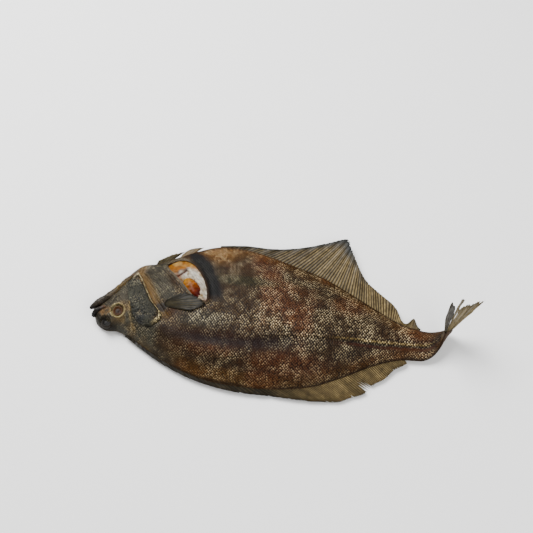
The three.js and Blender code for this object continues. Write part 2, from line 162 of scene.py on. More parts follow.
@dataclass(frozen=True)
class Grain:
    """Smooth random variation over space, the same on every run.

    Attributes:
        size: Millimetres from one bump to the next.
        seed: Picks one of many patterns.
        octaves: Layers, each half as large and half as strong as the last.
    """

    size: float
    seed: int
    octaves: int = 2

    def at(self, points: np.ndarray) -> np.ndarray:
        """Reads the variation, from about -1 to 1, at each point."""
        total = np.zeros(len(points))
        reach = 0.0
        for octave in range(self.octaves):
            weight = 0.55**octave
            shifted = points * (2**octave / self.size) + 31.7 * octave
            total += weight * self._layer(shifted, self.seed + 7 * octave)
            reach += weight
        return total / reach

    @staticmethod
    def _layer(points: np.ndarray, seed: int) -> np.ndarray:
        """One layer of random values on a unit grid, smoothed between its corners."""
        cell = np.floor(points).astype(np.int64)
        inside = points - cell
        eased = inside**3 * (inside * (inside * 6.0 - 15.0) + 10.0)
        value = np.zeros(len(points))
        for corner in itertools.product((0, 1), repeat=3):
            key = (cell + np.array(corner)) @ np.array([73856093, 19349663, 83492791])
            key = (key + seed * 40503) * 1274126177
            key = (key ^ (key >> 15)) * 668265263
            random = ((key ^ (key >> 13)) & 0xFFFF) / 32767.5 - 1.0
            weight = np.prod(np.where(np.array(corner), eased, 1.0 - eased), axis=1)
            value += weight * random
        return value


def flat3(x: np.ndarray, y: np.ndarray, z: float = 0.0) -> np.ndarray:
    """Points from their coordinates, all at one height."""
    return np.stack([x, y, np.full_like(x, z)], axis=1)


class Outline:
    """A closed line over the fish, smooth through its corners."""

    def __init__(self, corners: Sequence[Sequence[float]], steps: int = 10) -> None:
        """Draws the line with a number of steps from corner to corner."""
        count = len(corners)
        looped = [corners[(i - 2) % count] for i in range(count + 5)]
        share = np.linspace(2.0, count + 2.0, count * steps, endpoint=False) / (count + 4)
        self.line = through(looped, share)
        self.middle = self.line.mean(axis=0)

    def at(self, share: np.ndarray) -> np.ndarray:
        """Points on the line, at shares of the way round it."""
        count = len(self.line)
        index = (share % 1.0) * count
        low = np.floor(index).astype(int)
        return blend(self.line[low % count], self.line[(low + 1) % count], index - low)

    def distance(self, spots: np.ndarray) -> np.ndarray:
        """How far each spot lies from the line."""
        return line_distance(spots, np.vstack([self.line, self.line[:1]]))


@dataclass(frozen=True)
class Box:
    """A CAD node's lowest and highest corners, in millimetres."""

    low: np.ndarray
    high: np.ndarray

    @classmethod
    def of(cls, node: str) -> "Box":
        """Measures a node of the frame."""
        low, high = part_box(node)
        return cls(np.array(low) / MM, np.array(high) / MM)

    @property
    def size(self) -> np.ndarray:
        """The box's three sides."""
        return self.high - self.low

    @property
    def middle(self) -> np.ndarray:
        """The box's centre."""
        return (self.high + self.low) / 2.0

    def spot(self, *shares: float) -> np.ndarray:
        """A point at a share of each side, from the lowest corner."""
        return self.low + self.size * np.array(shares)


# ---- Surfaces --------------------------------------------------------------------------


@dataclass
class Surface:
    """What a surface holds at each of its vertices.

    Attributes:
        points: Places, in millimetres.
        tone: The skin's colour without its fine pattern, in linear light.
        lattice: Millimetres along and across the flattened skin, and the pattern's strength.
    """

    points: np.ndarray
    tone: np.ndarray
    lattice: np.ndarray


SurfaceRule = Callable[[np.ndarray, np.ndarray], Surface]
SEAM_GAP = 2e-6  # metres within which a surface's edges are sewn together


def sew(name: str, columns: int, rows: int, rule: SurfaceRule) -> bpy.types.Object:
    """Bends a grid into a closed surface and sews it where its edges meet.

    Args:
        name: The piece's name.
        columns: Faces along the surface.
        rows: Faces around it.
        rule: Places the surface, given shares along and around it.

    Returns:
        The piece, its mesh in the frame's place.
    """
    mesh = bmesh.new()
    bmesh.ops.create_grid(mesh, x_segments=columns, y_segments=rows, size=0.5)
    grid = np.array([vertex.co[:2] for vertex in mesh.verts]) + 0.5
    made = rule(grid[:, 0], grid[:, 1])
    tone = mesh.verts.layers.float_color.new("tone")
    lattice = mesh.verts.layers.float_vector.new("lattice")
    for vertex, point, colour, spot in zip(
        mesh.verts, made.points * MM, made.tone, made.lattice
    ):
        vertex.co = point
        vertex[tone] = (*colour, 1.0)
        vertex[lattice] = spot
    bmesh.ops.remove_doubles(mesh, verts=mesh.verts, dist=SEAM_GAP)
    bmesh.ops.recalc_face_normals(mesh, faces=mesh.faces)
    return to_piece(name, mesh)


def to_piece(name: str, mesh: bmesh.types.BMesh) -> bpy.types.Object:
    """Turns a bmesh into a smooth-shaded object in the scene and frees it."""
    data = bpy.data.meshes.new(name)
    for face in mesh.faces:
        face.smooth = True
    mesh.to_mesh(data)
    mesh.free()
    piece = bpy.data.objects.new(name, data)
    bpy.context.scene.collection.objects.link(piece)
    return piece


def fill(count: int, colour: np.ndarray) -> np.ndarray:
    """One colour for every vertex."""
    return np.tile(colour, (count, 1))


# ---- Finishes --------------------------------------------------------------------------


class Graph:
    """A material's node tree, with short ways to add to it."""

    def __init__(self, name: str, shine: float = 0.07) -> None:
        """Starts a material with only its Principled shader and output."""
        self.material = bpy.data.materials.new(name)
        self.material.use_nodes = True
        self.tree = self.material.node_tree
        self.shader = self.tree.nodes["Principled BSDF"]
        self.shader.inputs["Specular IOR Level"].default_value = shine

    def add(self, kind: str, **settings: object) -> bpy.types.Node:
        """Adds a node and sets its properties."""
        node = self.tree.nodes.new(kind)
        for key, value in settings.items():
            setattr(node, key, value)
        return node

    def link(self, out: Socket, into: Socket) -> None:
        """Joins two sockets."""
        self.tree.links.new(out, into)

    def attribute(self, name: str) -> bpy.types.Node:
        """Reads one of the mesh's own attributes."""
        return self.add("ShaderNodeAttribute", attribute_name=name)

    def place(self) -> Socket:
        """The object's own coordinates."""
        return self.add("ShaderNodeTexCoord").outputs["Object"]

    def feed(self, value: Socket | float | Sequence[float], into: Socket) -> None:
        """Links a socket to an input, or sets the input to a number or a colour."""
        if isinstance(value, Socket):
            self.link(value, into)
        elif isinstance(value, (int, float)):
            into.default_value = value
        else:
            into.default_value = (*value, 1.0)

    def noise(self, vector: Socket, scale: float, detail: float) -> Socket:
        """Noise over a vector; returns its value's socket."""
        node = self.add("ShaderNodeTexNoise")
        node.inputs["Scale"].default_value = scale
        node.inputs["Detail"].default_value = detail
        self.link(vector, node.inputs["Vector"])
        return node.outputs["Fac"]

    def remap(
        self, value: Socket, low: float, high: float, to_low: float, to_high: float
    ) -> Socket:
        """Maps a value from one range to another, smoothly, and returns its socket."""
        node = self.add("ShaderNodeMapRange", interpolation_type="SMOOTHSTEP")
        for key, number in (("From Min", low), ("From Max", high)):
            node.inputs[key].default_value = number
        for key, number in (("To Min", to_low), ("To Max", to_high)):
            node.inputs[key].default_value = number
        self.link(value, node.inputs["Value"])
        return node.outputs["Result"]

    def times(self, first: Socket, second: Socket) -> Socket:
        """Multiplies two values and returns the product's socket."""
        node = self.add("ShaderNodeMath", operation="MULTIPLY")
        self.link(first, node.inputs[0])
        self.link(second, node.inputs[1])
        return node.outputs["Value"]

    def lit(self, colour: Socket, factor: Socket | float) -> Socket:
        """Brightens or darkens a colour by a factor and returns its socket."""
        node = self.add("ShaderNodeVectorMath", operation="SCALE")
        self.link(colour, node.inputs[0])
        self.feed(factor, node.inputs["Scale"])
        return node.outputs["Vector"]

    def mix(
        self,
        share: Socket | float,
        first: Socket | Sequence[float],
        second: Socket | Sequence[float],
    ) -> Socket:
        """Mixes two colours by a share, each a socket or plain."""
        node = self.add("ShaderNodeMix", data_type="RGBA")
        factor, first_colour, second_colour = (node.inputs[i] for i in (0, 6, 7))
        self.feed(share, factor)
        self.feed(first, first_colour)
        self.feed(second, second_colour)
        return node.outputs[2]

    def bump(
        self, height: Socket, strength: float, distance: float, under: Socket | None = None
    ) -> Socket:
        """A bump from a height; returns the normal's socket."""
        node = self.add("ShaderNodeBump")
        node.inputs["Strength"].default_value = strength
        node.inputs["Distance"].default_value = distance
        self.link(height, node.inputs["Height"])
        if under is not None:
            self.link(under, node.inputs["Normal"])
        return node.outputs["Normal"]

    def finish(
        self, colour: Socket, roughness: Socket, normal: Socket, **numbers: float
    ) -> bpy.types.Material:
        """Joins the results to the shader and sets its plain numbers."""
        self.link(colour, self.shader.inputs["Base Color"])
        self.link(roughness, self.shader.inputs["Roughness"])
        self.link(normal, self.shader.inputs["Normal"])
        for key, value in numbers.items():
            self.shader.inputs[key.replace("_", " ").title()].default_value = value
        return self.material


@dataclass(frozen=True)
class ScaledSkin:
    """Dried skin whose small scales catch the light as rows of pale flecks.

    Attributes:
        name: The material's name.
        pitch: Millimetres from one scale to the next.
        fleck: The colour of a scale that has dried pale.
        scatter: How far scales stray from their rows, from 0 to 1.
        relief: Height of a scale, in millimetres.
        gloss: Strength of the oily film over the skin.
        groove: Paint between the scales.
    """

    name: str
    pitch: float = 1.7
    fleck: str = "f8eccc"
    scatter: float = 0.4
    relief: float = 0.3
    gloss: float = 0.02
    groove: tuple[float, float, float] = (0.0016, 0.001, 0.0006)

    def make(self) -> bpy.types.Material:
        """Builds the material."""
        graph = Graph(self.name)
        tone = graph.attribute("tone").outputs["Color"]
        spread = graph.attribute("lattice")
        turned = graph.add("ShaderNodeMapping")
        turned.inputs["Rotation"].default_value = (0.0, 0.0, math.radians(45.0))
        turned.inputs["Scale"].default_value = (1.15 / self.pitch, 0.88 / self.pitch, 0.0)
        graph.link(spread.outputs["Vector"], turned.inputs["Vector"])
        scales = graph.add("ShaderNodeTexVoronoi", voronoi_dimensions="2D")
        scales.inputs["Scale"].default_value = 1.0
        scales.inputs["Randomness"].default_value = self.scatter
        graph.link(turned.outputs["Vector"], scales.inputs["Vector"])
        parts = graph.add("ShaderNodeSeparateXYZ")
        graph.link(spread.outputs["Vector"], parts.inputs["Vector"])
        chance = graph.add("ShaderNodeSeparateColor")
        graph.link(scales.outputs["Color"], chance.inputs["Color"])
        place = graph.place()
        cloud = graph.noise(place, 110.0, 5.0)
        speck = graph.noise(place, 1500.0, 2.0)
        body = graph.remap(scales.outputs["Distance"], 0.46, 0.12, 0.0, 1.0)
        lit = graph.remap(chance.outputs["Red"], 0.1, 0.95, 0.28, 0.95)
        patch = graph.remap(cloud, 0.4, 0.58, 0.12, 1.0)
        share = graph.times(graph.times(graph.times(body, lit), patch), parts.outputs["Z"])
        rim = graph.remap(scales.outputs["Distance"], 0.3, 0.6, 0.0, 1.0)
        shown = graph.remap(parts.outputs["Z"], 0.0, 0.7, 0.1, 0.85)
        grooved = graph.mix(graph.times(rim, shown), tone, self.groove)
        pale = graph.mix(0.6, graph.lit(tone, 7.0), 1.6 * tint(self.fleck))
        flecked = graph.mix(share, grooved, pale)
        shaded = graph.lit(flecked, graph.remap(speck, 0.3, 0.7, 0.65, 1.35))
        rough = graph.remap(cloud, 0.3, 0.7, 0.58, 0.4)
        height = graph.remap(scales.outputs["Distance"], 0.6, 0.0, 0.0, 1.0)
        fine = graph.bump(speck, 0.5, 0.12 * MM)
        normal = graph.bump(height, 0.8, self.relief * MM, fine)
        return graph.finish(shaded, rough, normal, coat_weight=self.gloss, coat_roughness=0.35)


@dataclass(frozen=True)
class DriedFin:
    """Fin membrane dried over its rays, streaked along them.

    Attributes:
        name: The material's name.
        gloss: Strength of the oily film over the fin.
    """

    name: str
    gloss: float = 0.05

    def make(self) -> bpy.types.Material:
        """Builds the material from the colours painted ray by ray."""
        graph = Graph(self.name)
        tone = graph.attribute("tone").outputs["Color"]
        spread = graph.attribute("lattice")
        streak = graph.add("ShaderNodeMapping")
        streak.inputs["Scale"].default_value = (3.0, 0.22, 0.0)
        graph.link(spread.outputs["Vector"], streak.inputs["Vector"])
        fibre = graph.noise(streak.outputs["Vector"], 2.0, 4.0)
        cloud = graph.noise(graph.place(), 240.0, 3.0)
        light = graph.remap(fibre, 0.3, 0.7, 0.5, 1.5)
        soft = graph.remap(cloud, 0.3, 0.7, 0.75, 1.25)
        shaded = graph.lit(tone, graph.times(light, soft))
        rough = graph.remap(cloud, 0.3, 0.7, 0.5, 0.36)
        normal = graph.bump(fibre, 0.5, 0.12 * MM)
        return graph.finish(shaded, rough, normal, coat_weight=self.gloss, coat_roughness=0.3)


@dataclass(frozen=True)
class Flesh:
    """Cured flesh, fat or roe: waxy, fibrous and a little translucent.

    Attributes:
        name: The material's name.
        grain: Fibres to the metre.
        rough: Its middle roughness.
        glow: How much light goes on through it.
    """

    name: str
    grain: float = 420.0
    rough: float = 0.42
    glow: float = 0.12

    def make(self) -> bpy.types.Material:
        """Builds the material from its painted colours."""
        graph = Graph(self.name)
        tone = graph.attribute("tone").outputs["Color"]
        place = graph.place()
        fibre = graph.noise(place, self.grain, 5.0)
        cloud = graph.noise(place, self.grain * 0.3, 2.0)
        shaded = graph.lit(tone, graph.remap(fibre, 0.3, 0.7, 0.72, 1.22))
        rough = graph.remap(cloud, 0.35, 0.65, self.rough - 0.1, self.rough + 0.1)
        normal = graph.bump(fibre, 0.6, 0.35 * MM)
        waxy = graph.finish(shaded, rough, normal, subsurface_weight=self.glow)
        graph.shader.inputs["Subsurface Radius"].default_value = (1.2 * MM, 0.6 * MM, 0.3 * MM)
        graph.shader.inputs["Subsurface Scale"].default_value = 1.0
        return waxy


@dataclass(frozen=True)
class GlazedEye:
    """An eye dried to a dark glossy dish.

    Attributes:
        name: The material's name.
        rough: Roughness where it is glossiest.
    """

    name: str
    rough: float = 0.42

    def make(self) -> bpy.types.Material:
        """Builds the material from its painted colours."""
        graph = Graph(self.name)
        tone = graph.attribute("tone").outputs["Color"]
        grain = graph.noise(graph.place(), 900.0, 4.0)
        shaded = graph.lit(tone, graph.remap(grain, 0.3, 0.7, 0.7, 1.3))
        rough = graph.remap(grain, 0.35, 0.65, self.rough, self.rough + 0.2)
        normal = graph.bump(grain, 0.4, 0.15 * MM)
        return graph.finish(shaded, rough, normal, coat_weight=0.06, coat_roughness=0.3)


# ---- The trunk's form ------------------------------------------------------------------


class Side(Enum):
    """The two broad sides of a flatfish."""

    EYED = 1
    BLIND = -1


class Edge(Enum):
    """The two long edges, as columns of the form's rows."""

    BACK = 0
    BELLY = 2


@dataclass
class FishForm:
    """The trunk's outline and thickness, sized from the CAD body's box.

    Attributes:
        rows: Station, then the back edge, lateral line and belly edge as shares of the
            width, the crown and the blind side's lift as shares of the thickness, and how
            full the section is between its crown and its edges.
        trunk_share: Share of the CAD body's length that is trunk; the stalk is the rest.
        width_share: The body's full width over the CAD body's box, which the stalk turns in.
        rim_height: Middle of the edges above the table.
        rim: Half the thickness of the edges.
        snout_round: Millimetres over which the snout closes.
    """

    rows: tuple[tuple[float, ...], ...] = (
        (0.0, -0.105, -0.07, -0.035, 0.46, 0.2, 3.4),
        (0.012, -0.13, -0.055, 0.006, 0.56, 0.18, 3.4),
        (0.03, -0.155, -0.04, 0.055, 0.66, 0.15, 3.2),
        (0.048, -0.165, -0.035, 0.118, 0.73, 0.13, 3.0),
        (0.06, -0.164, -0.037, 0.172, 0.76, 0.12, 3.0),
        (0.074, -0.162, -0.04, 0.228, 0.79, 0.11, 2.9),
        (0.106, -0.185, -0.055, 0.315, 0.84, 0.1, 2.8),
        (0.17, -0.262, -0.088, 0.366, 0.88, 0.1, 2.6),
        (0.216, -0.318, -0.108, 0.416, 0.91, 0.1, 2.5),
        (0.271, -0.372, -0.118, 0.474, 0.94, 0.1, 2.4),
        (0.342, -0.424, -0.128, 0.532, 0.97, 0.08, 2.3),
        (0.428, -0.45, -0.135, 0.538, 1.0, -0.03, 2.3),
        (0.514, -0.455, -0.124, 0.5, 1.0, -0.04, 2.3),
        (0.6, -0.442, -0.1, 0.443, 0.97, -0.04, 2.3),
        (0.686, -0.402, -0.088, 0.38, 0.9, -0.035, 2.3),
        (0.772, -0.319, -0.078, 0.286, 0.79, -0.025, 2.3),
        (0.858, -0.221, -0.074, 0.183, 0.66, 0.01, 2.3),
        (0.944, -0.158, -0.06, 0.092, 0.5, 0.06, 2.3),
        (1.0, -0.15, -0.05, 0.064, 0.44, 0.085, 2.3),
    )
    trunk_share: float = 0.9114
    width_share: float = 1.02
    rim_height: float = 4.0
    rim: float = 1.6
    snout_round: float = 3.0

    def __post_init__(self) -> None:
        """Takes the sizes from the frame."""
        body = Box.of("body")
        tail = Box.of("tail_fin")
        self.snout = body.low[0]
        self.length = self.trunk_share * body.size[0]
        self.width = self.width_share * body.size[1]
        self.thickness = body.size[2]
        self.table = np.array(self.rows)
        self.stalk = Stalk(self, end=tail.spot(0.315, 0.28, 0.122))

    def station(self, x: np.ndarray) -> np.ndarray:
        """The station of places along X."""
        return (x - self.snout) / self.length

    def lengthwise(self, station: float | np.ndarray) -> float | np.ndarray:
        """Where a station lies along X."""
        return self.snout + station * self.length

    def spot(self, station: float, share: float) -> tuple[float, float]:
        """A place over the fish from its station and its share of the width."""
        return (self.lengthwise(station), share * self.width)

    def spots(self, places: Sequence[tuple[float, float]]) -> list[tuple[float, float]]:
        """Places over the fish from their stations and shares of the width."""
        return [self.spot(*place) for place in places]

    def sections(self, station: np.ndarray) -> np.ndarray:
        """Rows of back, line, belly, crown, lift in millimetres, and fullness."""
        rows = hermite(self.table[:, 0], self.table[:, 1:], station)
        sizes = np.array([self.width] * 3 + [self.thickness] * 2 + [1.0])
        return rows * sizes

    def edge(self, station: np.ndarray, edge: Edge) -> np.ndarray:
        """How far an edge lies from the X axis at stations."""
        return self.sections(station)[:, edge.value]

    def height(self, row: np.ndarray, across: np.ndarray, side: Side) -> np.ndarray:
        """Height of the smooth skin at a share across, 1 or -1 being the edges."""
        outward = np.minimum(np.abs(across), 1.0)
        rim = self.rim * np.sqrt(1.0 - outward**2)
        crown, lift, fullness = row[:, 3], row[:, 4], row[:, 5]
        if side is Side.EYED:
            dome = 1.0 - outward**fullness
            return self.rim_height + rim + (crown - self.rim_height - self.rim) * dome
        flat = 1.0 - outward**5
        return self.rim_height - rim - (self.rim_height - self.rim - lift) * flat

    def over(self, spots: np.ndarray, side: Side = Side.EYED) -> np.ndarray:
        """Height of the smooth skin at spots over the fish."""
        row = self.sections(self.station(spots[:, 0]))
        y = spots[:, 1]
        edge = np.where(y > row[:, 1], row[:, 2], row[:, 0])
        return self.height(row, (y - row[:, 1]) / np.abs(edge - row[:, 1]), side)


class Stalk:
    """The tail stalk's curl, from lying flat to standing on edge.

    Attributes:
        SIDE: The way across the stalk at its end.
        AXIS: Roughly the way along it there.
        WIDTH: Its width at its end, in millimetres.
        THICKNESS: Its thickness at its end.
        TURN_POWER: Over 1, it turns mostly near its end.
        NEAR_BEND: Share of the run that it goes straight on at first.
        FAR_BEND: Share of the rise over which it ends straight.
    """

    SIDE = Vector((0.63, 0.483, -0.604)).normalized()
    AXIS = Vector((0.414, 0.448, 0.793))
    WIDTH = 15.0
    THICKNESS = 4.6
    TURN_POWER = 1.6
    NEAR_BEND = 0.55
    FAR_BEND = 0.8

    def __init__(self, form: FishForm, end: np.ndarray) -> None:
        """Finds the curl's start on the trunk and its turn at the tail's root.

        Args:
            form: The trunk, of which only the last section is read.
            end: The middle of the tail's root.
        """
        last = form.sections(np.array([1.0]))[0]
        x = form.lengthwise(1.0)
        self.start = np.array([x, (last[0] + last[2]) / 2.0, (last[3] + last[4]) / 2.0])
        self.end = end
        self.axis = (self.AXIS - self.AXIS.project(self.SIDE)).normalized()
        self.normal = self.axis.cross(self.SIDE)
        self.narrowing = self.WIDTH / (last[2] - last[0])
        self.thinning = self.THICKNESS / (last[3] - last[4])
        run, _, rise = self.end - self.start
        near = self.start + np.array([run * self.NEAR_BEND, 0.0, 0.0])
        far = self.end - np.array(self.axis) * rise * self.FAR_BEND
        self.bends = np.array([self.start, near, far, self.end])
        steps = self._path(np.linspace(0.0, 1.0, 40))
        self.length = np.linalg.norm(np.diff(steps, axis=0), axis=1).sum()

    def _path(self, along: np.ndarray) -> np.ndarray:
        """Points on the curl's middle line."""
        t = along[:, None]
        weights = ((1 - t) ** 3, 3 * t * (1 - t) ** 2, 3 * t * t * (1 - t), t**3)
        return sum(weight * bend for weight, bend in zip(weights, self.bends))

    def curl(self, points: np.ndarray) -> np.ndarray:
        """Bends points that lie past the trunk's end round the curl.

        Args:
            points: Places on the straight fish, in millimetres.

        Returns:
            The same places on the curled fish.
        """
        along = np.clip((points[:, 0] - self.start[0]) / self.length, 0.0, 1.0)
        basis = np.array([self.axis, self.SIDE, self.normal]).T
        spin, angle = rotation_of(basis)
        angles = angle * along**self.TURN_POWER
        taper = np.stack(
            [
                np.zeros(len(points)),
                1.0 + (self.narrowing - 1.0) * along,
                1.0 + (self.thinning - 1.0) * along,
            ],
            axis=1,
        )
        offset = (points - self.start) * taper
        return np.where(
            (points[:, 0] > self.start[0])[:, None],
            self._path(along) + rotate(offset, spin, angles),
            points,
        )


def rotation_of(basis: np.ndarray) -> tuple[np.ndarray, float]:
    """The axis and angle of a rotation matrix."""
    angle = math.acos((np.trace(basis) - 1.0) / 2.0)
    skew = np.array(
        [basis[2, 1] - basis[1, 2], basis[0, 2] - basis[2, 0], basis[1, 0] - basis[0, 1]]
    )
    return skew / np.linalg.norm(skew), angle


def rotate(points: np.ndarray, axis: np.ndarray, angles: np.ndarray) -> np.ndarray:
    """Turns each point about an axis through the origin by its own angle."""
    cosine, sine = np.cos(angles)[:, None], np.sin(angles)[:, None]
    along = (points @ axis)[:, None] * axis
    return points * cosine + np.cross(axis, points) * sine + along * (1.0 - cosine)


# ---- Outlines shared by the pieces -----------------------------------------------------

GILL_COVER = (
    (0.089, 0.152),
    (0.107, 0.259),
    (0.125, 0.223),
    (0.152, 0.125),
    (0.176, 0.036),
    (0.211, -0.058),
    (0.186, -0.134),
    (0.15, -0.129),
    (0.123, -0.062),
    (0.105, 0.027),
)

# The slit runs straight along the shoulder and bows along the belly wall.
SLIT = (
    (0.341, 0.077),
    (0.335, 0.17),
    (0.317, 0.262),
    (0.289, 0.348),
    (0.256, 0.4),
    (0.22, 0.401),
    (0.19, 0.352),
    (0.226, 0.264),
    (0.262, 0.183),
    (0.296, 0.104),
    (0.32, 0.082),
)


# ---- The body --------------------------------------------------------------------------

SKIN_PAINTS = {
    name: tint(code)
    for name, code in (
        ("umber", "3f2e1e"),
        ("dark", "2a1c13"),
        # dark: painted shade for the sunken groove along the lateral line.
        ("red", "5e391f"),
        ("gold", "8a6434"),
        ("black", "15130f"),
        ("charcoal", "55534a"),
        ("tan", "7f6748"),
        ("grey", "4a4840"),
        ("green", "3d3b2c"),
        ("char", "221f1b"),
        ("blind", "b08c52"),
        ("blind_edge", "6a4c28"),
    )
}

# Strength, then the centre and the reach of each oval along and across, in millimetres.
RED_PATCHES = (
    (0.9, 20.0, -33.0, 34.0, 11.0),
    (0.8, -45.0, -24.0, 36.0, 9.0),
    (0.8, 62.0, 18.0, 16.0, 9.0),
)
FAR = 99.0  # millimetres, past the reach of anything round the slit


@dataclass
class Body:
    """The trunk's skin from snout to tail root, with the slit cut into the belly.

    Attributes:
        form: The trunk that the skin follows.
        columns: Faces along the fish.
        rows: Faces around it, most of them on the eyed side.
        eyed_share: Share of the rows on the eyed side.
        slit_floor: Height above the table at which the slit ends, in millimetres.
        slit_taper: How far its outline draws in at that height, as a share.
        cutter_top: Height above the table that clears the skin.
    """

    form: FishForm
    columns: int = 330
    rows: int = 250
    eyed_share: float = 0.72
    slit_floor: float = 4.6
    slit_taper: float = 0.1
    cutter_top: float = 30.0

    def __post_init__(self) -> None:
        """Draws the slit and reads the eyes' places."""
        self.slit = Outline(self.form.spots(SLIT))
        self.eyes = [Box.of("lower_eye"), Box.of("upper_eye")]

    def build(self) -> bpy.types.Object:
        """Makes the skin and cuts the slit into it."""
        skin = sew("body_skin", self.columns, self.rows, self.surface)
        skin.data.materials.append(ScaledSkin("scaled_skin").make())
        skin.data.materials.append(self._lining())
        self._cut(skin, self._cutter())
        return skin

    def surface(self, along: np.ndarray, around: np.ndarray) -> Surface:
        """Places the skin, given shares along the fish and round its section."""
        reach = 1.0 + self.form.stalk.length / self.form.length
        station = reach * (0.8 * along + 0.2 * along**2)
        straight = self.form.lengthwise(station)
        row = self.form.sections(station)
        eyed = around <= self.eyed_share
        share = np.where(
            eyed, around / self.eyed_share, (1.0 - around) / (1.0 - self.eyed_share)
        )
        across = 0.72 * (1.0 - 2.0 * share) + 0.28 * np.cos(math.pi * share)
        closing = self._closing(straight, reach)
        edge = np.where(across > 0, row[:, 2], row[:, 0])
        half = np.abs(edge - row[:, 1])
        y = row[:, 1] + half * across
        upper = self.form.height(row, across, Side.EYED)
        lower = self.form.height(row, across, Side.BLIND)
        top = flat3(straight, y)
        soft = 1.0 - np.abs(across) ** 10
        relief = self._relief(top, station) * soft * closing
        upper = upper + relief
        lower = np.maximum(lower + self._blind_relief(top, across) * soft, 0.0)
        z = np.where(eyed, upper, lower)
        centre_z = (row[:, 3] + row[:, 4]) / 2.0
        z = centre_z + (z - centre_z) * closing
        y = row[:, 1] + (y - row[:, 1]) * closing
        points = self.form.stalk.curl(np.stack([straight, y, z], axis=1))
        points[:, 2] = np.maximum(points[:, 2], 0.0)
        tone, flecks = self._colours(top, station, relief)
        blind_tone, blind_flecks = self._blind_colours(top, across)
        tone = blend(blind_tone, tone, ramp(-0.25, 0.25, self._sidedness(eyed, across)))
        fall = np.where(eyed, row[:, 3] - self.form.height(row, across, Side.EYED), 0.0)
        lattice = flat3(straight, y + np.sign(across) * 0.8 * fall)
        lattice[:, 2] = np.where(eyed, flecks, blind_flecks)
        return Surface(points, np.clip(tone, 0.002, 1.0), lattice)

    @staticmethod
    def _sidedness(eyed: np.ndarray, across: np.ndarray) -> np.ndarray:
        """1 over the eyed side, -1 under the blind side, 0 at the edges."""
        inward = 1.0 - np.abs(across)
        return np.where(eyed, 1.0, -1.0) * np.clip(inward * 8.0, 0.0, 1.0)

    def _closing(self, x: np.ndarray, reach: float) -> np.ndarray:
        """How open a section is: 0 at the snout's and the stalk's very ends."""
        start = np.clip((x - self.form.snout) / self.form.snout_round, 0.0, 1.0)
        end = (self.form.lengthwise(reach) - x) / self.form.snout_round
        end = np.clip(end, 0.0, 1.0)
        return np.sqrt(1.0 - (1.0 - start) ** 2) * np.sqrt(1.0 - (1.0 - end) ** 2)

    # -- Relief --

    def _relief(self, spots: np.ndarray, station: np.ndarray) -> np.ndarray:
        """Height of the eyed side's relief over its smooth form."""
        row = self.form.sections(station)
        off_line = spots[:, 1] - row[:, 1]
        relief = self._lateral_line(off_line, spots[:, 0], station)
        relief += self._muscle(spots[:, 0], off_line, station)
        relief += self._fin_roots(spots, row)
        relief += 0.42 * Grain(17.0, 3, 3).at(spots) + 0.2 * Grain(5.0, 8, 2).at(spots)
        relief += self._slit_lips(spots)
        relief += self._shoulder(spots)
        relief += self._head(spots, station)
        return relief

    @staticmethod
    def _lateral_line(off: np.ndarray, x: np.ndarray, station: np.ndarray) -> np.ndarray:
        """The lateral line's ridge, and the groove that has sunk in below it."""
        present = ramp(0.45, 0.75, station)
        ridge = 0.45 * bell(off, 0.9) - 0.5 * bell(off + 2.2, 1.4) - 0.25 * bell(off - 2.0, 1.2)
        sunken = -1.0 * bell(off + 5.0, 5.0) * ramp(0.24, 0.34, station)
        sunken *= 1.0 - 0.6 * ramp(0.5, 0.8, station)
        beads = 0.16 * bell(off, 0.8) * np.sin(x * 2.6)
        return (ridge + beads) * present + sunken

    @staticmethod
    def _muscle(x: np.ndarray, off: np.ndarray, station: np.ndarray) -> np.ndarray:
        """The chevrons of muscle under the dried skin."""
        fold = x + 9.0 * np.abs(np.abs(off) - 20.0) / 20.0
        chevrons = 0.09 * np.sin(fold * 2.0 * math.pi / 5.2)
        return chevrons * ramp(0.25, 0.4, station) * bell(off, 38.0)

    def _fin_roots(self, spots: np.ndarray, row: np.ndarray) -> np.ndarray:
        """The fine slanted bones that carry the fin rays, and the groove inside them."""
        relief = np.zeros(len(spots))
        for edge, sign in ((row[:, 2], 1.0), (row[:, 0], -1.0)):
            inward = (edge - spots[:, 1]) * sign
            slanted = spots[:, 0] - inward * 0.75
            bones = 0.2 * np.sin(slanted * 2.0 * math.pi / 2.5) * bell(inward - 6.5, 4.5)
            relief += bones - 0.55 * bell(inward - 13.0, 3.5)
        return relief * ramp(-112.0, -85.0, spots[:, 0])

    def _slit_lips(self, spots: np.ndarray) -> np.ndarray:
        """The skin curls up a little where the slit was cut."""
        near = np.abs(spots[:, :2] - self.slit.middle).max(axis=1) < 32.0
        relief = np.zeros(len(spots))
        gap = self.slit.distance(spots[near, :2])
        wander = 1.0 + 0.5 * Grain(5.0, 21).at(spots[near])
        relief[near] = 0.75 * bell(gap, 1.3) * wander - 0.35 * bell(gap - 3.4, 1.8)
        return relief

    def _shoulder(self, spots: np.ndarray) -> np.ndarray:
        """Folds of the membrane behind the gill cover, sunk below the shoulder."""
        rear = self._behind_gill(spots[:, :2])
        down = ramp(-10.0, -2.0, spots[:, 1])
        folds = 0.35 * np.sin(2.4 * rear + 1.2 * Grain(6.0, 23).at(spots))
        step = 0.9 * bell(rear - 7.5, 1.6) - 0.8 * bell(rear - 3.0, 2.8)
        return (folds * bell(rear - 3.0, 3.0) + step) * down

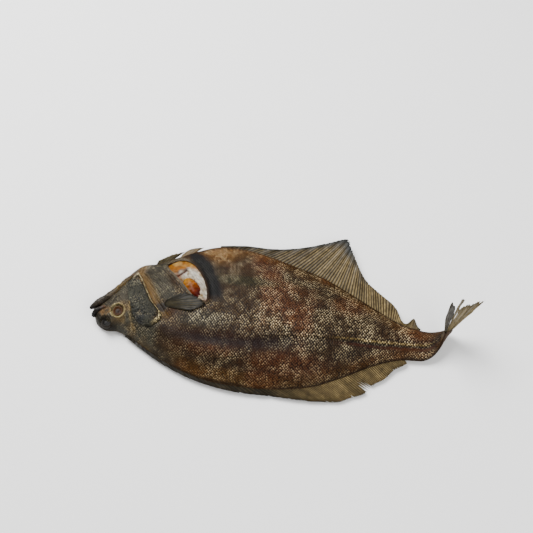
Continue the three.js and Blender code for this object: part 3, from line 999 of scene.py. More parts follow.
    def _head(self, spots: np.ndarray, station: np.ndarray) -> np.ndarray:
        """Eye sockets, brow, cheek bones, nostrils and the folds behind the jaws."""
        flat = spots[:, :2]
        relief = np.zeros(len(spots))
        for eye, ring in zip(self.eyes, (1.0, 0.7)):
            radius = eye.size[0] / 2.0
            out = np.linalg.norm(flat - eye.middle[:2], axis=1) / radius
            relief += ring * (1.1 * bell(out - 1.16, 0.17) + 0.5 * bell(out - 1.5, 0.4))
            relief -= 1.8 * ramp(1.05, 0.7, out)
        for points, height, width in self._bones():
            relief += height * bell(line_distance(flat, points), width)
        rough = 0.5 * Grain(4.2, 41, 3).at(spots) + 0.3 * Grain(1.9, 47, 2).at(spots)
        return relief + rough * ramp(0.19, 0.1, station)

    def _bones(self) -> list[tuple[np.ndarray, float, float]]:
        """Ridges and grooves of the head: their lines, heights and widths."""
        form = self.form
        return [
            (np.array(form.spots([(0.107, 0.02), (0.112, -0.054), (0.13, -0.165)])), 0.9, 1.1),
            (np.array(form.spots([(0.118, 0.03), (0.124, -0.05), (0.142, -0.16)])), -0.9, 1.2),
            (np.array(form.spots([(0.028, -0.085), (0.06, -0.086), (0.1, -0.13)])), 0.7, 1.0),
            (np.array(form.spots([(0.03, -0.03), (0.052, -0.004), (0.066, 0.06)])), -0.8, 0.9),
            (np.array(form.spots([(0.036, -0.045), (0.056, -0.028)])), 0.6, 1.0),
            (np.array(form.spots([(0.05, 0.085), (0.075, 0.12), (0.096, 0.2)])), -0.7, 1.0),
            (np.array(form.spots([(0.072, 0.07), (0.088, 0.15)])), 0.5, 1.4),
            (np.array(form.spots([(0.022, -0.09), (0.024, -0.088)])), -0.9, 0.7),
        ]

    @staticmethod
    def _blind_relief(spots: np.ndarray, across: np.ndarray) -> np.ndarray:
        """Relief of the blind side, which the table has pressed nearly flat."""
        wrinkles = 0.3 * Grain(12.0, 61, 3).at(spots)
        chevrons = 0.1 * np.sin((spots[:, 0] + 0.5 * np.abs(spots[:, 1])) * 1.25)
        return wrinkles + chevrons - 0.1 * across**2

    # -- Colour --

    def _colours(
        self, spots: np.ndarray, station: np.ndarray, relief: np.ndarray
    ) -> tuple[np.ndarray, np.ndarray]:
        """The eyed side's colour, and how strongly its scales show pale."""
        paint = SKIN_PAINTS
        x, y = spots[:, 0], spots[:, 1]
        row = self.form.sections(station)
        off = y - row[:, 1]
        cloud = Grain(24.0, 71, 3).at(spots)
        fleck_cloud = Grain(13.0, 77, 3).at(spots)
        tone = fill(len(spots), paint["umber"])
        flecks = 0.72 + 0.5 * fleck_cloud - 0.22 * ramp(0.45, 0.25, station)

        red = ramp(-0.1, 0.5, cloud + 0.45 * self._patch(x, y, 12.0, 20.0, 30.0, 16.0))
        for strength, *oval in RED_PATCHES:
            red = np.maximum(red, strength * self._patch(x, y, *oval))
        red = np.clip(red + 0.6 * ramp(0.86, 1.0, station), 0.0, 1.0)
        tone = blend(tone, paint["red"], 0.85 * red)
        ember = ramp(0.25, 0.75, Grain(9.0, 73, 3).at(spots)) * red
        tone = blend(tone, tint("84562e"), 0.55 * ember)
        pale = ramp(0.42, 0.55, station) * ramp(-0.25, 0.45, fleck_cloud)
        flecks += 0.55 * pale * ramp(30.0, 18.0, np.abs(off - 3.0))

        # Painted shade: the sunken groove along the lateral line is painted dark towards the
        # head.
        groove_shade = bell(off + 6.5, 6.5) * ramp(0.14, 0.24, station) * ramp(0.72, 0.5, station)
        tone = blend(tone, paint["dark"], 0.92 * groove_shade)
        flecks *= 1.0 - 0.8 * groove_shade
        tone, flecks = self._stripes(off, station, tone, flecks)
        green = self._patch(x, y, -22.0, 29.0, 30.0, 5.0)
        tone = blend(tone, paint["green"], 0.8 * green)

        margin = np.minimum(row[:, 2] - y, y - row[:, 0])
        golden = ramp(13.0, 3.0, margin + 4.0 * cloud) * ramp(0.2, 0.35, station)
        golden *= 0.34 - 0.17 * ramp(0.45, 0.6, station)
        tone = blend(tone, paint["gold"], golden)
        corner = self._patch(x, y, -42.0, 52.0, 17.0, 10.0)
        tone = blend(tone, paint["gold"], 0.7 * corner)
        flecks += 0.3 * corner
        border = ramp(2.6, 0.6, margin + 0.8 * cloud) * ramp(0.2, 0.3, station)
        tone = blend(tone, paint["black"], 0.7 * border)
        flecks *= 1.0 - 0.8 * border
        front = ramp(0.34, 0.2, station) * ramp(0.0, -20.0, off)
        front = np.maximum(front, 1.6 * self._patch(x, y, -50.0, -5.0, 24.0, 8.0))
        tone = blend(tone, paint["grey"], 0.45 * front)
        flecks += 0.4 * self._patch(x, y, -52.0, -5.0, 20.0, 6.0)

        tone, flecks = self._belly_stains(spots, tone, flecks)
        tone, flecks = self._head_colours(spots, tone, flecks)
        # Painted shade and highlight: the colour darkens in the relief's hollows and lightens on
        # its ridges.
        relief_shade = np.clip(1.0 + 0.32 * relief, 0.35, 1.5)
        tone = tone * relief_shade[:, None]
        mottle = 1.0 + 0.22 * Grain(3.0, 83, 2).at(spots)
        return tone * mottle[:, None], np.clip(flecks, 0.0, 1.4)

    @staticmethod
    def _stripes(
        off: np.ndarray, station: np.ndarray, tone: np.ndarray, flecks: np.ndarray
    ) -> tuple[np.ndarray, np.ndarray]:
        """The pale lateral line towards the tail, between a dark red stripe and a black painted
        shadow.
        """
        rear = ramp(0.7, 0.82, station)
        below = bell(off + 3.4, 1.7) * rear
        tone = blend(tone, tint("4c2c1a"), 0.85 * below)
        flecks = flecks * (1.0 - 0.9 * below)
        # A black line painted just below the lateral line's ridge, standing in for its shadow.
        shadow = bell(off + 1.3, 0.7) * rear
        tone = blend(tone, SKIN_PAINTS["black"], 0.8 * shadow)
        line = bell(off - 0.3, 0.9) * rear
        tone = blend(tone, tint("a08c68"), 0.75 * line)
        stalk = ramp(1.0, 1.06, station)
        tone = blend(tone, tint("33251d"), 0.85 * stalk)
        return tone, np.clip(flecks * (1.0 - 0.6 * stalk) + 0.3 * line, 0.0, 1.5)

    @staticmethod
    def _patch(
        x: np.ndarray,
        y: np.ndarray,
        centre_x: float,
        centre_y: float,
        reach_x: float,
        reach_y: float,
    ) -> np.ndarray:
        """A soft oval patch, full at its middle."""
        out = np.hypot((x - centre_x) / reach_x, (y - centre_y) / reach_y)
        return ramp(1.3, 0.4, out)

    def _belly_stains(
        self, spots: np.ndarray, tone: np.ndarray, flecks: np.ndarray
    ) -> tuple[np.ndarray, np.ndarray]:
        """Smoke-black skin behind the slit, and a pale painted highlight along its raised lip.
        """
        flat = spots[:, :2]
        near = np.abs(flat - self.slit.middle).max(axis=1) < 40.0
        gap = np.full(len(spots), FAR)
        gap[near] = self.slit.distance(flat[near])
        wander = 2.2 * Grain(6.0, 91).at(spots)
        behind = ramp(-3.0, 4.0, (flat[:, 0] + 58.0) + 0.42 * (flat[:, 1] - 28.0))
        black = ramp(14.0, 8.0, gap + wander) * behind * ramp(6.0, 16.0, flat[:, 1])
        tone = blend(tone, 0.6 * SKIN_PAINTS["black"], 0.97 * black)
        flecks = flecks * (1.0 - 0.93 * black)
        lip = bell(gap, 1.1)
        # A pale line painted along the raised lip in front, standing in for its highlight.
        tone = blend(tone, tint("7d776a"), 0.7 * lip * (1.0 - behind))
        tone = blend(tone, tint("3a2a1e"), 0.8 * lip * behind)
        return tone, flecks * (1.0 - lip)

    def _head_colours(
        self, spots: np.ndarray, tone: np.ndarray, flecks: np.ndarray
    ) -> tuple[np.ndarray, np.ndarray]:
        """The head's charcoal, its tan folds and the charred snout."""
        flat = spots[:, :2]
        x, y = flat[:, 0], flat[:, 1]
        paint = SKIN_PAINTS
        cloud = Grain(6.0, 97, 3).at(spots)
        rear = self._behind_gill(flat)
        head = ramp(3.0, -3.0, rear + 2.0 * cloud)
        tone = blend(tone, paint["charcoal"], 0.85 * head)
        flecks = flecks * (1.0 - head) + head * (0.35 + 0.3 * cloud)
        warm = ramp(0.0, 0.6, Grain(9.0, 101, 2).at(spots))
        tone = blend(tone, paint["tan"], 0.4 * warm * head)

        shoulder = ramp(1.0, 5.0, rear) * ramp(26.0, 18.0, rear) * ramp(3.0, 9.0, y)
        shoulder *= ramp(-52.0, -58.0, x - 0.45 * (y - 10.0))
        tone = blend(tone, paint["grey"], 0.9 * shoulder)
        flecks = flecks * (1.0 - shoulder) + shoulder * 0.55
        fold = bell(rear - 3.0, 3.0) * ramp(-12.0, -2.0, y)
        wrinkle = np.sin(2.4 * rear + 1.5 * cloud)
        tone = blend(tone, tint("a08664"), 0.9 * fold)
        tone = blend(tone, tint("4a2c1a"), 0.6 * fold * ramp(-0.2, 0.8, wrinkle))
        flecks = flecks * (1.0 - 0.7 * fold)
        eye = self.eyes[0]
        out = np.linalg.norm(flat - eye.middle[:2], axis=1) / (eye.size[0] / 2.0)
        worn = 0.9 * ramp(-0.9, 0.3, Grain(3.0, 103).at(spots))
        tone = blend(tone, tint("d0c19c"), worn * bell(out - 1.08, 0.14))
        ridge = line_distance(flat, self._bones()[0][0])
        tone = blend(tone, tint("98876a"), 0.6 * bell(ridge, 0.9) * ramp(-0.9, 0.3, cloud))
        lip = self._patch(x, y, -121.0, -6.0, 6.0, 4.2) * ramp(-0.7, 0.1, cloud)
        peeled = ramp(-0.5, 0.3, Grain(3.0, 105).at(spots))
        tone = blend(tone, tint("8d7258"), 0.8 * lip * peeled)
        throat = self._patch(x, y, -109.0, 27.0, 4.5, 3.0)
        tone = blend(tone, tint("94692c"), 0.65 * throat)
        # A dark patch painted where the skin sinks in at the gill cover's rear edge, standing in
        # for its shade.
        hollow = self._patch(x, y, -79.0, 0.5, 6.5, 5.0)
        tone = blend(tone, tint("2b2d2f"), 0.85 * hollow)
        flecks = flecks * (1.0 - 0.8 * hollow)
        charred = ramp(-117.5, -124.0, x + 0.55 * (y + 12.0))
        charred = np.maximum(charred, ramp(-12.0, -16.5, y) * ramp(-108.0, -114.0, x))
        tone = blend(tone, paint["char"], 0.9 * charred * (1.0 - lip))
        return tone, flecks * (1.0 - 0.7 * charred)

    def _behind_gill(self, flat: np.ndarray) -> np.ndarray:
        """Millimetres behind the gill cover's rear edge, negative on the head."""
        edge = np.array(self.form.spots([(0.11, 0.35), *GILL_COVER[1:6], (0.19, -0.3)]))
        order = np.argsort(edge[:, 1])
        return flat[:, 0] - np.interp(flat[:, 1], edge[order, 1], edge[order, 0])

    def _blind_colours(
        self, spots: np.ndarray, across: np.ndarray
    ) -> tuple[np.ndarray, np.ndarray]:
        """The blind side is pale, and smoked to a mottled amber."""
        cloud = Grain(18.0, 111, 3).at(spots)
        tone = fill(len(spots), SKIN_PAINTS["blind"])
        tone = blend(tone, tint("a98d58"), ramp(0.0, 0.7, cloud))
        tone = blend(tone, tint("7d5832"), ramp(0.1, 0.7, Grain(30.0, 113, 2).at(spots)))
        tone = blend(tone, SKIN_PAINTS["blind_edge"], ramp(0.6, 0.97, np.abs(across)))
        head = ramp(-88.0, -106.0, spots[:, 0])
        tone = blend(tone, tint("5b4a33"), 0.6 * head)
        # Painted shade: where the curl turns the stalk's blind side up, it is painted dark.
        stalk = ramp(0.97, 1.04, self.form.station(spots[:, 0]))
        tone = blend(tone, tint("4a3427"), 0.9 * stalk)
        return tone, 0.16 + 0.12 * cloud

    # -- The slit --

    def _lining(self) -> bpy.types.Material:
        """The slit's walls, dark towards the bottom and fading up to cured flesh at the lip."""
        graph = Graph("belly_lining")
        place = graph.place()
        parts = graph.add("ShaderNodeSeparateXYZ")
        graph.link(place, parts.inputs["Vector"])
        grain = graph.noise(place, 500.0, 4.0)
        # The walls are painted darker towards the bottom of the cut.
        wall = graph.remap(parts.outputs["Z"], 5.0 * MM, 12.0 * MM, 0.0, 1.0)
        base = graph.mix(wall, tint("3b1d10"), tint("8c6a42"))
        colour = graph.mix(graph.remap(grain, 0.35, 0.7, 0.0, 0.6), base, tint("2a140c"))
        rough = graph.remap(grain, 0.3, 0.7, 0.3, 0.5)
        normal = graph.bump(grain, 0.7, 0.5 * MM)
        return graph.finish(colour, rough, normal)

    def _cutter(self) -> bpy.types.Object:
        """A plug of the slit's shape, narrower at its floor."""
        mesh = bmesh.new()
        count = len(self.slit.line)
        wander = 0.35 * Grain(4.0, 121).at(flat3(*self.slit.line.T))
        rim = self.slit.line + unit(self.slit.middle - self.slit.line) * wander[:, None]
        bmesh.ops.create_circle(mesh, cap_ends=True, segments=count, radius=1.0)
        mesh.verts.ensure_lookup_table()
        for vertex, (x, y) in zip(mesh.verts, rim * MM):
            vertex.co = (x, y, self.cutter_top * MM)
        drawn = bmesh.ops.extrude_face_region(mesh, geom=mesh.faces[:])
        floor = [item for item in drawn["geom"] if isinstance(item, bmesh.types.BMVert)]
        middle = Vector((*self.slit.middle * MM, 0.0))
        for vertex in floor:
            vertex.co.z = self.slit_floor * MM
            vertex.co.xy = vertex.co.xy.lerp(middle.xy, self.slit_taper)
        bmesh.ops.recalc_face_normals(mesh, faces=mesh.faces)
        return to_piece("slit_cutter", mesh)

    @staticmethod
    def _cut(skin: bpy.types.Object, cutter: bpy.types.Object) -> None:
        """Takes the cutter out of the skin and lines the hole."""
        for _ in skin.data.materials:
            cutter.data.materials.append(None)
        for face in cutter.data.polygons:
            face.material_index = len(skin.data.materials) - 1
        cut = skin.modifiers.new("slit", "BOOLEAN")
        cut.operation = "DIFFERENCE"
        cut.solver = "EXACT"
        cut.object = cutter
        depsgraph = bpy.context.evaluated_depsgraph_get()
        finished = bpy.data.meshes.new_from_object(skin.evaluated_get(depsgraph))
        skin.modifiers.clear()
        repaint(finished, skin.data)
        skin.data = finished
        bpy.data.objects.remove(cutter)


def repaint(mesh: bpy.types.Mesh, source: bpy.types.Mesh) -> None:
    """Gives each vertex what the nearest vertex of another mesh holds.

    Args:
        mesh: The mesh to paint, with some vertices that the source lacks.
        source: The mesh whose tone and lattice are read.
    """
    tree = KDTree(len(source.vertices))
    for vertex in source.vertices:
        tree.insert(vertex.co, vertex.index)
    tree.balance()
    nearest = [tree.find(vertex.co)[1] for vertex in mesh.vertices]
    for name, key, width in (("tone", "color", 4), ("lattice", "vector", 3)):
        held = np.empty(len(source.vertices) * width)
        source.attributes[name].data.foreach_get(key, held)
        painted = held.reshape(-1, width)[nearest]
        mesh.attributes[name].data.foreach_set(key, painted.ravel())


# ---- Fins ------------------------------------------------------------------------------


@dataclass
class FinSheet:
    """A dried fin: a membrane over rays, ragged along its edge.

    Attributes:
        name: The piece's name.
        roots: Points that the fin is rooted along, in millimetres.
        tips: Points of its edge, one for each root.
        rays: How many rays it has.
        ray: Half the thickness of a ray at its root, in millimetres.
        seat: How deep the fin is rooted.
        wave: How far its edge waves to either side.
        fray: How far the membrane has shrunk back between the rays' tips.
        rag: How much further it has torn back in some of the gaps.
        tears: Pairs of a gap between rays and the share of its depth torn open.
        ray_tone: Colour of the rays.
        web_tone: Colour of the membrane.
        edge_tone: Colour towards the edge.
        char: How dark it has smoked, at even steps along it, from 0 to 1.
        edge_char: How strongly its edge shows its own colour, at even steps.
        seed: Picks the random wear.
        rows: Faces round it, out over its upper face and back.
        steps: Faces from one ray to the next.
    """

    name: str
    roots: np.ndarray
    tips: np.ndarray
    rays: int
    ray: float = 0.5
    seat: float = 2.4
    wave: float = 0.8
    fray: float = 0.05
    rag: float = 0.12
    tears: tuple[tuple[int, float], ...] = ()
    ray_tone: str = "bba988"
    web_tone: str = "352b1e"
    edge_tone: str = "4a3d28"
    char: tuple[float, ...] = (0.0, 0.0)
    edge_char: tuple[float, ...] = (0.7, 0.7)
    seed: int = 1
    rows: int = 44
    steps: int = 4

    def build(self) -> bpy.types.Object:
        """Makes the fin as a closed sheet with its rays standing out of it."""
        return sew(self.name, self.rays * self.steps, self.rows, self.surface)

    def surface(self, along: np.ndarray, around: np.ndarray) -> Surface:
        """Places the fin: out over its upper face and back over its lower one."""
        out = out_and_back(around)
        face_sign = np.where(around < 0.5, 1.0, -1.0)
        root = through(self.roots, along)
        ray = through(self.tips, along) - root
        ahead = unit(heading(self.roots, along, 0.01))
        outward = unit(ray - (ray * ahead).sum(axis=1)[:, None] * ahead)
        face = np.cross(ahead, outward)
        reach = np.linalg.norm(ray, axis=1)

        phase = along * self.rays
        web = 0.5 - 0.5 * np.cos(2.0 * math.pi * phase)
        torn = self._torn(phase)
        length = self._length(phase) - (self.fray + torn) * web
        share = out * length
        points = root + ray * share[:, None] - outward * (self.seat * (1.0 - out))[:, None]

        half = self.ray * (1.0 - 0.72 * out) * (1.0 - web) + 0.11 * web + 0.05
        ends = np.minimum(1.0, 12.0 * np.minimum(along, 1.0 - along) + 0.15)
        half = half * np.sqrt(np.clip(1.0 - out**14, 0.0, 1.0))
        half = half * np.sqrt(np.minimum(1.0, out * 12))
        half = np.where((along <= 0.0) | (along >= 1.0), 0.0, half * ends)
        spots = root + ray * out[:, None]
        sway = self.wave * out**1.3 * Grain(11.0, self.seed, 2).at(spots)
        sway += 0.18 * out * (np.sin(phase * 2.1 + self.seed) + web - 0.5)
        points = points + face * (sway + half * face_sign)[:, None]
        tone = self._tones(spots, along, out, web, phase)
        lattice = np.stack([phase, share * reach, np.ones_like(phase)], axis=1)
        return Surface(points, tone, lattice)

    def _length(self, phase: np.ndarray) -> np.ndarray:
        """Each ray's own length, as a share of the fin's outline."""
        index = np.rint(phase)
        return 1.0 + 0.035 * np.sin(index * 12.9898 + self.seed * 4.1)

    def _torn(self, phase: np.ndarray) -> np.ndarray:
        """How much deeper than the fray the membrane is torn in some gaps."""
        gap = np.floor(phase)
        random = np.sin(gap * 78.233 + self.seed * 1.7) * 43758.5453
        torn = self.rag * ramp(0.72, 1.0, random - np.floor(random))
        for index, depth in self.tears:
            torn = np.where(gap == index, depth, torn)
        return torn

    def _tones(
        self,
        spots: np.ndarray,
        along: np.ndarray,
        out: np.ndarray,
        web: np.ndarray,
        phase: np.ndarray,
    ) -> np.ndarray:
        """Colour of the rays, the membrane, the weathered edge, the smoked parts and painted
        shade at the root.
        """
        tone = blend(fill(len(spots), tint(self.ray_tone)), tint(self.web_tone), web**0.6)
        steps = np.linspace(0.0, 1.0, len(self.edge_char))
        edge = np.interp(along, steps, self.edge_char)
        tone = blend(tone, tint(self.edge_tone), edge * ramp(0.68, 0.95, out))
        smoked = np.interp(along, np.linspace(0.0, 1.0, len(self.char)), self.char)
        tone = blend(tone, tint("25221c"), smoked)
        # Painted shade where the fin meets the body: darker towards its root.
        tone = blend(tone, tone * 0.4, ramp(0.12, 0.0, out))
        cloud = Grain(14.0, self.seed + 5, 2).at(spots)
        streak = 1.0 + 0.2 * np.sin(np.rint(phase) * 5.3 + self.seed)
        return tone * (streak * (1.0 + 0.35 * cloud))[:, None]


LIKELY_REACH = 40.0  # millimetres, close enough to tell which row of a fin stands out furthest


@dataclass(frozen=True)
class EdgeFin:
    """A long fin along one edge of the body.

    Attributes:
        node: The CAD node that it stands for.
        edge: The edge it is rooted in.
        rows: Root station, tip station, share of the fin's reach, and the tip's height over
            the rim in millimetres.
        sheet: Everything else that the sheet needs.
    """

    node: str
    edge: Edge
    rows: tuple[tuple[float, float, float, float], ...]
    sheet: dict[str, object]

    def build(self, form: FishForm) -> bpy.types.Object:
        """Makes the fin on the form's edge, as far out as the CAD node reaches."""
        table = np.array(self.rows)
        sign = 1.0 if self.edge is Edge.BELLY else -1.0
        box = Box.of(self.node)
        roots_y = form.edge(table[:, 0], self.edge)
        tips_y = form.edge(table[:, 1], self.edge)
        peak = np.argmax(sign * tips_y + LIKELY_REACH * table[:, 2])
        limit = box.high[1] if self.edge is Edge.BELLY else -box.low[1]
        reach = (limit - sign * tips_y[peak]) / table[peak, 2]
        height = np.full(len(table), form.rim_height)
        roots = np.stack([form.lengthwise(table[:, 0]), roots_y, height], axis=1)
        tips = np.stack(
            [
                form.lengthwise(table[:, 1]),
                tips_y + sign * reach * table[:, 2],
                height + table[:, 3],
            ],
            axis=1,
        )
        return FinSheet(roots=roots, tips=tips, **self.sheet).build()


ANAL_FIN = EdgeFin(
    "anal_fin",
    Edge.BELLY,
    (
        (0.348, 0.354, 0.03, 0.3),
        (0.413, 0.439, 0.08, 0.6),
        (0.474, 0.524, 0.18, 1.0),
        (0.534, 0.609, 0.42, 1.8),
        (0.593, 0.696, 0.75, 3.5),
        (0.648, 0.751, 1.0, 5.0),
        (0.696, 0.767, 0.94, 5.5),
        (0.745, 0.775, 0.77, 5.0),
        (0.794, 0.796, 0.57, 4.0),
        (0.838, 0.826, 0.42, 3.0),
        (0.879, 0.866, 0.33, 2.5),
        (0.915, 0.916, 0.25, 2.0),
        (0.938, 0.938, 0.05, 1.5),
        (0.952, 0.954, 0.05, 1.5),
        (0.966, 0.974, 0.19, 1.5),
        (0.977, 0.986, 0.06, 1.0),
        (0.988, 0.996, 0.02, 0.5),
    ),
    dict(
        name="anal_fin_sheet",
        rays=84,
        fray=0.02,
        rag=0.03,
        edge_tone="454747",
        char=(0.85, 0.7, 0.35, 0.12, 0.08, 0.05, 0.0, 0.0, 0.0, 0.1, 0.3),
        edge_char=(0.9, 0.9, 0.9, 0.95, 1.0, 0.5, 0.1, 0.1, 0.3, 0.4, 0.6),
        seed=4,
    ),
)

BACK_FIN = EdgeFin(
    "dorsal_fin",
    Edge.BACK,
    (
        (0.097, 0.103, 0.08, 0.2),
        (0.186, 0.219, 0.13, 0.2),
        (0.283, 0.324, 0.15, 0.0),
        (0.405, 0.453, 0.21, -0.4),
        (0.526, 0.583, 0.28, -0.8),
        (0.607, 0.68, 0.55, -1.0),
        (0.664, 0.741, 0.82, -1.2),
        (0.713, 0.785, 0.94, -1.4),
        (0.757, 0.826, 1.0, -1.4),
        (0.802, 0.862, 0.8, -1.2),
        (0.842, 0.887, 0.68, -1.0),
        (0.883, 0.917, 0.42, -0.6),
        (0.919, 0.939, 0.27, -0.2),
        (0.948, 0.96, 0.12, 0.0),
    ),
    dict(
        name="dorsal_fin_sheet",
        rays=100,
        tears=((65, 0.45), (66, 0.65), (67, 0.75), (68, 0.4)),
        steps=5,
        char=(0.97, 0.97, 0.94, 0.85, 0.5, 0.15, 0.0, 0.0, 0.0, 0.1, 0.2),
        edge_char=(0.8, 0.8, 0.8, 0.8, 0.7, 0.5, 0.3, 0.2, 0.2, 0.3, 0.4),
        seed=9,
    ),
)


@dataclass(frozen=True)
class Blade:
    """One group of the tail's rays, split from its neighbours.

    Attributes:
        across: Shares of the stalk's half width at which it starts and ends.
        lean: Degrees off the stalk's axis at its two sides.
        length: Length of its two side rays, in millimetres.
        rays: How many rays it holds.
        bow: How far its middle rays stand past the line between its two side tips.
        dark: How dark it has dried, from 0 to 1.
        fray: How far its membrane has shrunk back between its rays.
    """

    across: tuple[float, float]
    lean: tuple[float, float]
    length: tuple[float, float]
    rays: int
    bow: float = 0.0
    dark: float = 0.0
    fray: float = 0.03


@dataclass
class TailFin:
    """The tail fin, torn into blades that dried standing out of the curled stalk.

    Attributes:
        form: The trunk, whose stalk carries the fin.
        cup: Degrees that the rays lean out of the stalk's plane at its two sides.
        blades: The blades, from the belly side on.
    """

    form: FishForm
    cup: tuple[float, float] = (9.0, -9.0)
    blades: tuple[Blade, ...] = (
        Blade((0.22, 0.85), (-12.5, -7.5), (32.0, 38.5), 5),
        Blade((-0.35, 0.2), (-21.5, -13.5), (27.0, 30.5), 6, 3.0),
        Blade((-0.7, -0.44), (-43.5, -26.5), (26.0, 23.5), 4, 17.0, 0.85, 0.0),
        Blade((-0.3, -0.24), (-29.5, -25.0), (43.0, 40.0), 2, 0.0, 0.35),
    )

    def build(self) -> bpy.types.Object:
        """Makes the blades and joins them into one piece."""
        pieces = [self._blade(number, blade) for number, blade in enumerate(self.blades)]
        return join("tail_fin_blades", pieces)

    def _blade(self, number: int, blade: Blade) -> bpy.types.Object:
        """Makes one blade."""
        shares = np.linspace(0.0, 1.0, 5)
        stalk = self.form.stalk
        across = np.interp(shares, (0, 1), blade.across)
        lean = np.radians(np.interp(shares, (0, 1), blade.lean))
        length = np.interp(shares, (0, 1), blade.length)
        length = length + blade.bow * (1.0 - np.abs(2.0 * shares - 1.0)) ** 0.7
        cup = np.tan(np.radians(np.interp(across, (-1, 1), self.cup)))
        side, axis, normal = (np.array(v) for v in (stalk.SIDE, stalk.axis, stalk.normal))
        roots = stalk.end + across[:, None] * side * stalk.WIDTH / 2.0
        rays = np.cos(lean)[:, None] * axis + np.sin(lean)[:, None] * side
        rays = unit(rays + cup[:, None] * normal)
        sheet = FinSheet(
            name=f"tail_blade_{number + 1}",
            roots=roots,
            tips=roots + rays * length[:, None],
            rays=blade.rays,
            ray=0.55,
            fray=blade.fray,
            wave=1.4,
            ray_tone="c4b492",
            web_tone="958568",
            edge_tone="4a3e2c",
            edge_char=(0.3, 0.5, 0.7),
            seed=31 + number,
            steps=6,
        )
        piece = sheet.build()
        darken(piece, blade.dark)
        return piece


def darken(piece: bpy.types.Object, share: float) -> None:
    """Draws a piece's painted colours towards the dark of charred fin."""
    tone = piece.data.attributes["tone"]
    colours = np.empty(len(tone.data) * 4)
    tone.data.foreach_get("color", colours)
    rows = colours.reshape(-1, 4)
    rows[:, :3] += (tint("2b2720") - rows[:, :3]) * share
    tone.data.foreach_set("color", rows.ravel())


def join(name: str, pieces: Sequence[bpy.types.Object]) -> bpy.types.Object:
    """Joins pieces into one new piece, removing them."""
    mesh = bmesh.new()
    for piece in pieces:
        mesh.from_mesh(piece.data)
        bpy.data.objects.remove(piece)
    return to_piece(name, mesh)


@dataclass
class PairedFins:
    """The pectoral and pelvic fins of both sides.

    Attributes:
        form: The trunk that they are rooted in.
    """

    form: FishForm

    def pectoral(self, side: Side) -> bpy.types.Object:
        """Makes a pectoral fin, folded back flat over the skin."""
        eyed = side is Side.EYED
        share = 1.0 if eyed else 0.8
        roots = ((0.223, 0.05), (0.22, 0.039), (0.219, 0.026), (0.222, 0.012))
        tips = ((0.258, 0.12), (0.302, 0.11), (0.342, 0.05), (0.298, -0.012))
        lift = 0.95 if eyed else -0.8
        seat = self._on_skin(self._drawn_in(roots, share), lift, side)
        edge = self._on_skin(self._drawn_in(tips, share), lift, side)
        return FinSheet(
            name="pectoral_fin_fan" if eyed else "blind_pectoral_fin_fan",
            roots=seat,
            tips=edge,
            rays=10,
            ray=0.6,
            seat=1.2,
            char=(0.85, 0.75, 0.55, 0.3, 0.5) if eyed else (0.0, 0.0),
            wave=0.35 if eyed else 0.1,
            ray_tone="645c44" if eyed else "8f7a4c",
            web_tone="211f1b" if eyed else "6f5a36",
            edge_tone="24221f" if eyed else "5a4628",
            seed=51,
            steps=6,
        ).build()

    def pelvic(self, side: Side) -> bpy.types.Object:
        """Makes a pelvic fin, a short fan along the belly edge."""
        eyed = side is Side.EYED
        roots = (0.152, 0.168, 0.187) if eyed else (0.219, 0.233, 0.247)
        tips = (0.166, 0.205, 0.244) if eyed else (0.236, 0.262, 0.3)
        reach = (1.8, 3.2, 2.0) if eyed else (2.4, 4.4, 2.2)
        rise = (2.6, 3.0, 2.4) if eyed else (-0.4, 0.2, 0.2)
        level = (0.0, 0.0, 0.0)
        return FinSheet(
            name="pelvic_fin_fan" if eyed else "blind_pelvic_fin_fan",
            roots=self._off_belly(roots, level, level),
            tips=self._off_belly(tips, reach, rise),
            rays=6,
            ray=0.45,
            wave=0.6,
            ray_tone="8f8570" if eyed else "b3a48a",
            web_tone="4a463c" if eyed else "6d5a4a",
            edge_tone="6f6654",
            seed=61 if eyed else 67,
            steps=6,
        ).build()

    def _off_belly(
        self, stations: Sequence[float], reach: Sequence[float], rise: Sequence[float]
    ) -> np.ndarray:
        """Points a reach out from the belly edge and a rise over its rim."""
        station = np.array(stations)
        out = self.form.edge(station, Edge.BELLY) + reach
        up = self.form.rim_height + np.array(rise)
        return np.stack([self.form.lengthwise(station), out, up], axis=1)

    def _drawn_in(self, places: Sequence[tuple[float, float]], share: float) -> np.ndarray:
        """Places drawn in towards the fin's middle, as spots in millimetres."""
        spots = np.array(self.form.spots(places))
        middle = np.array(self.form.spot(0.275, 0.045))
        return middle + (spots - middle) * share

    def _on_skin(self, spots: np.ndarray, lift: float, side: Side) -> np.ndarray:
        """Spots raised out of the skin of a side."""
        return np.column_stack([spots, self.form.over(spots, side) + lift])


# ---- Gill covers, jaws, eyes and what shows in the slit --------------------------------


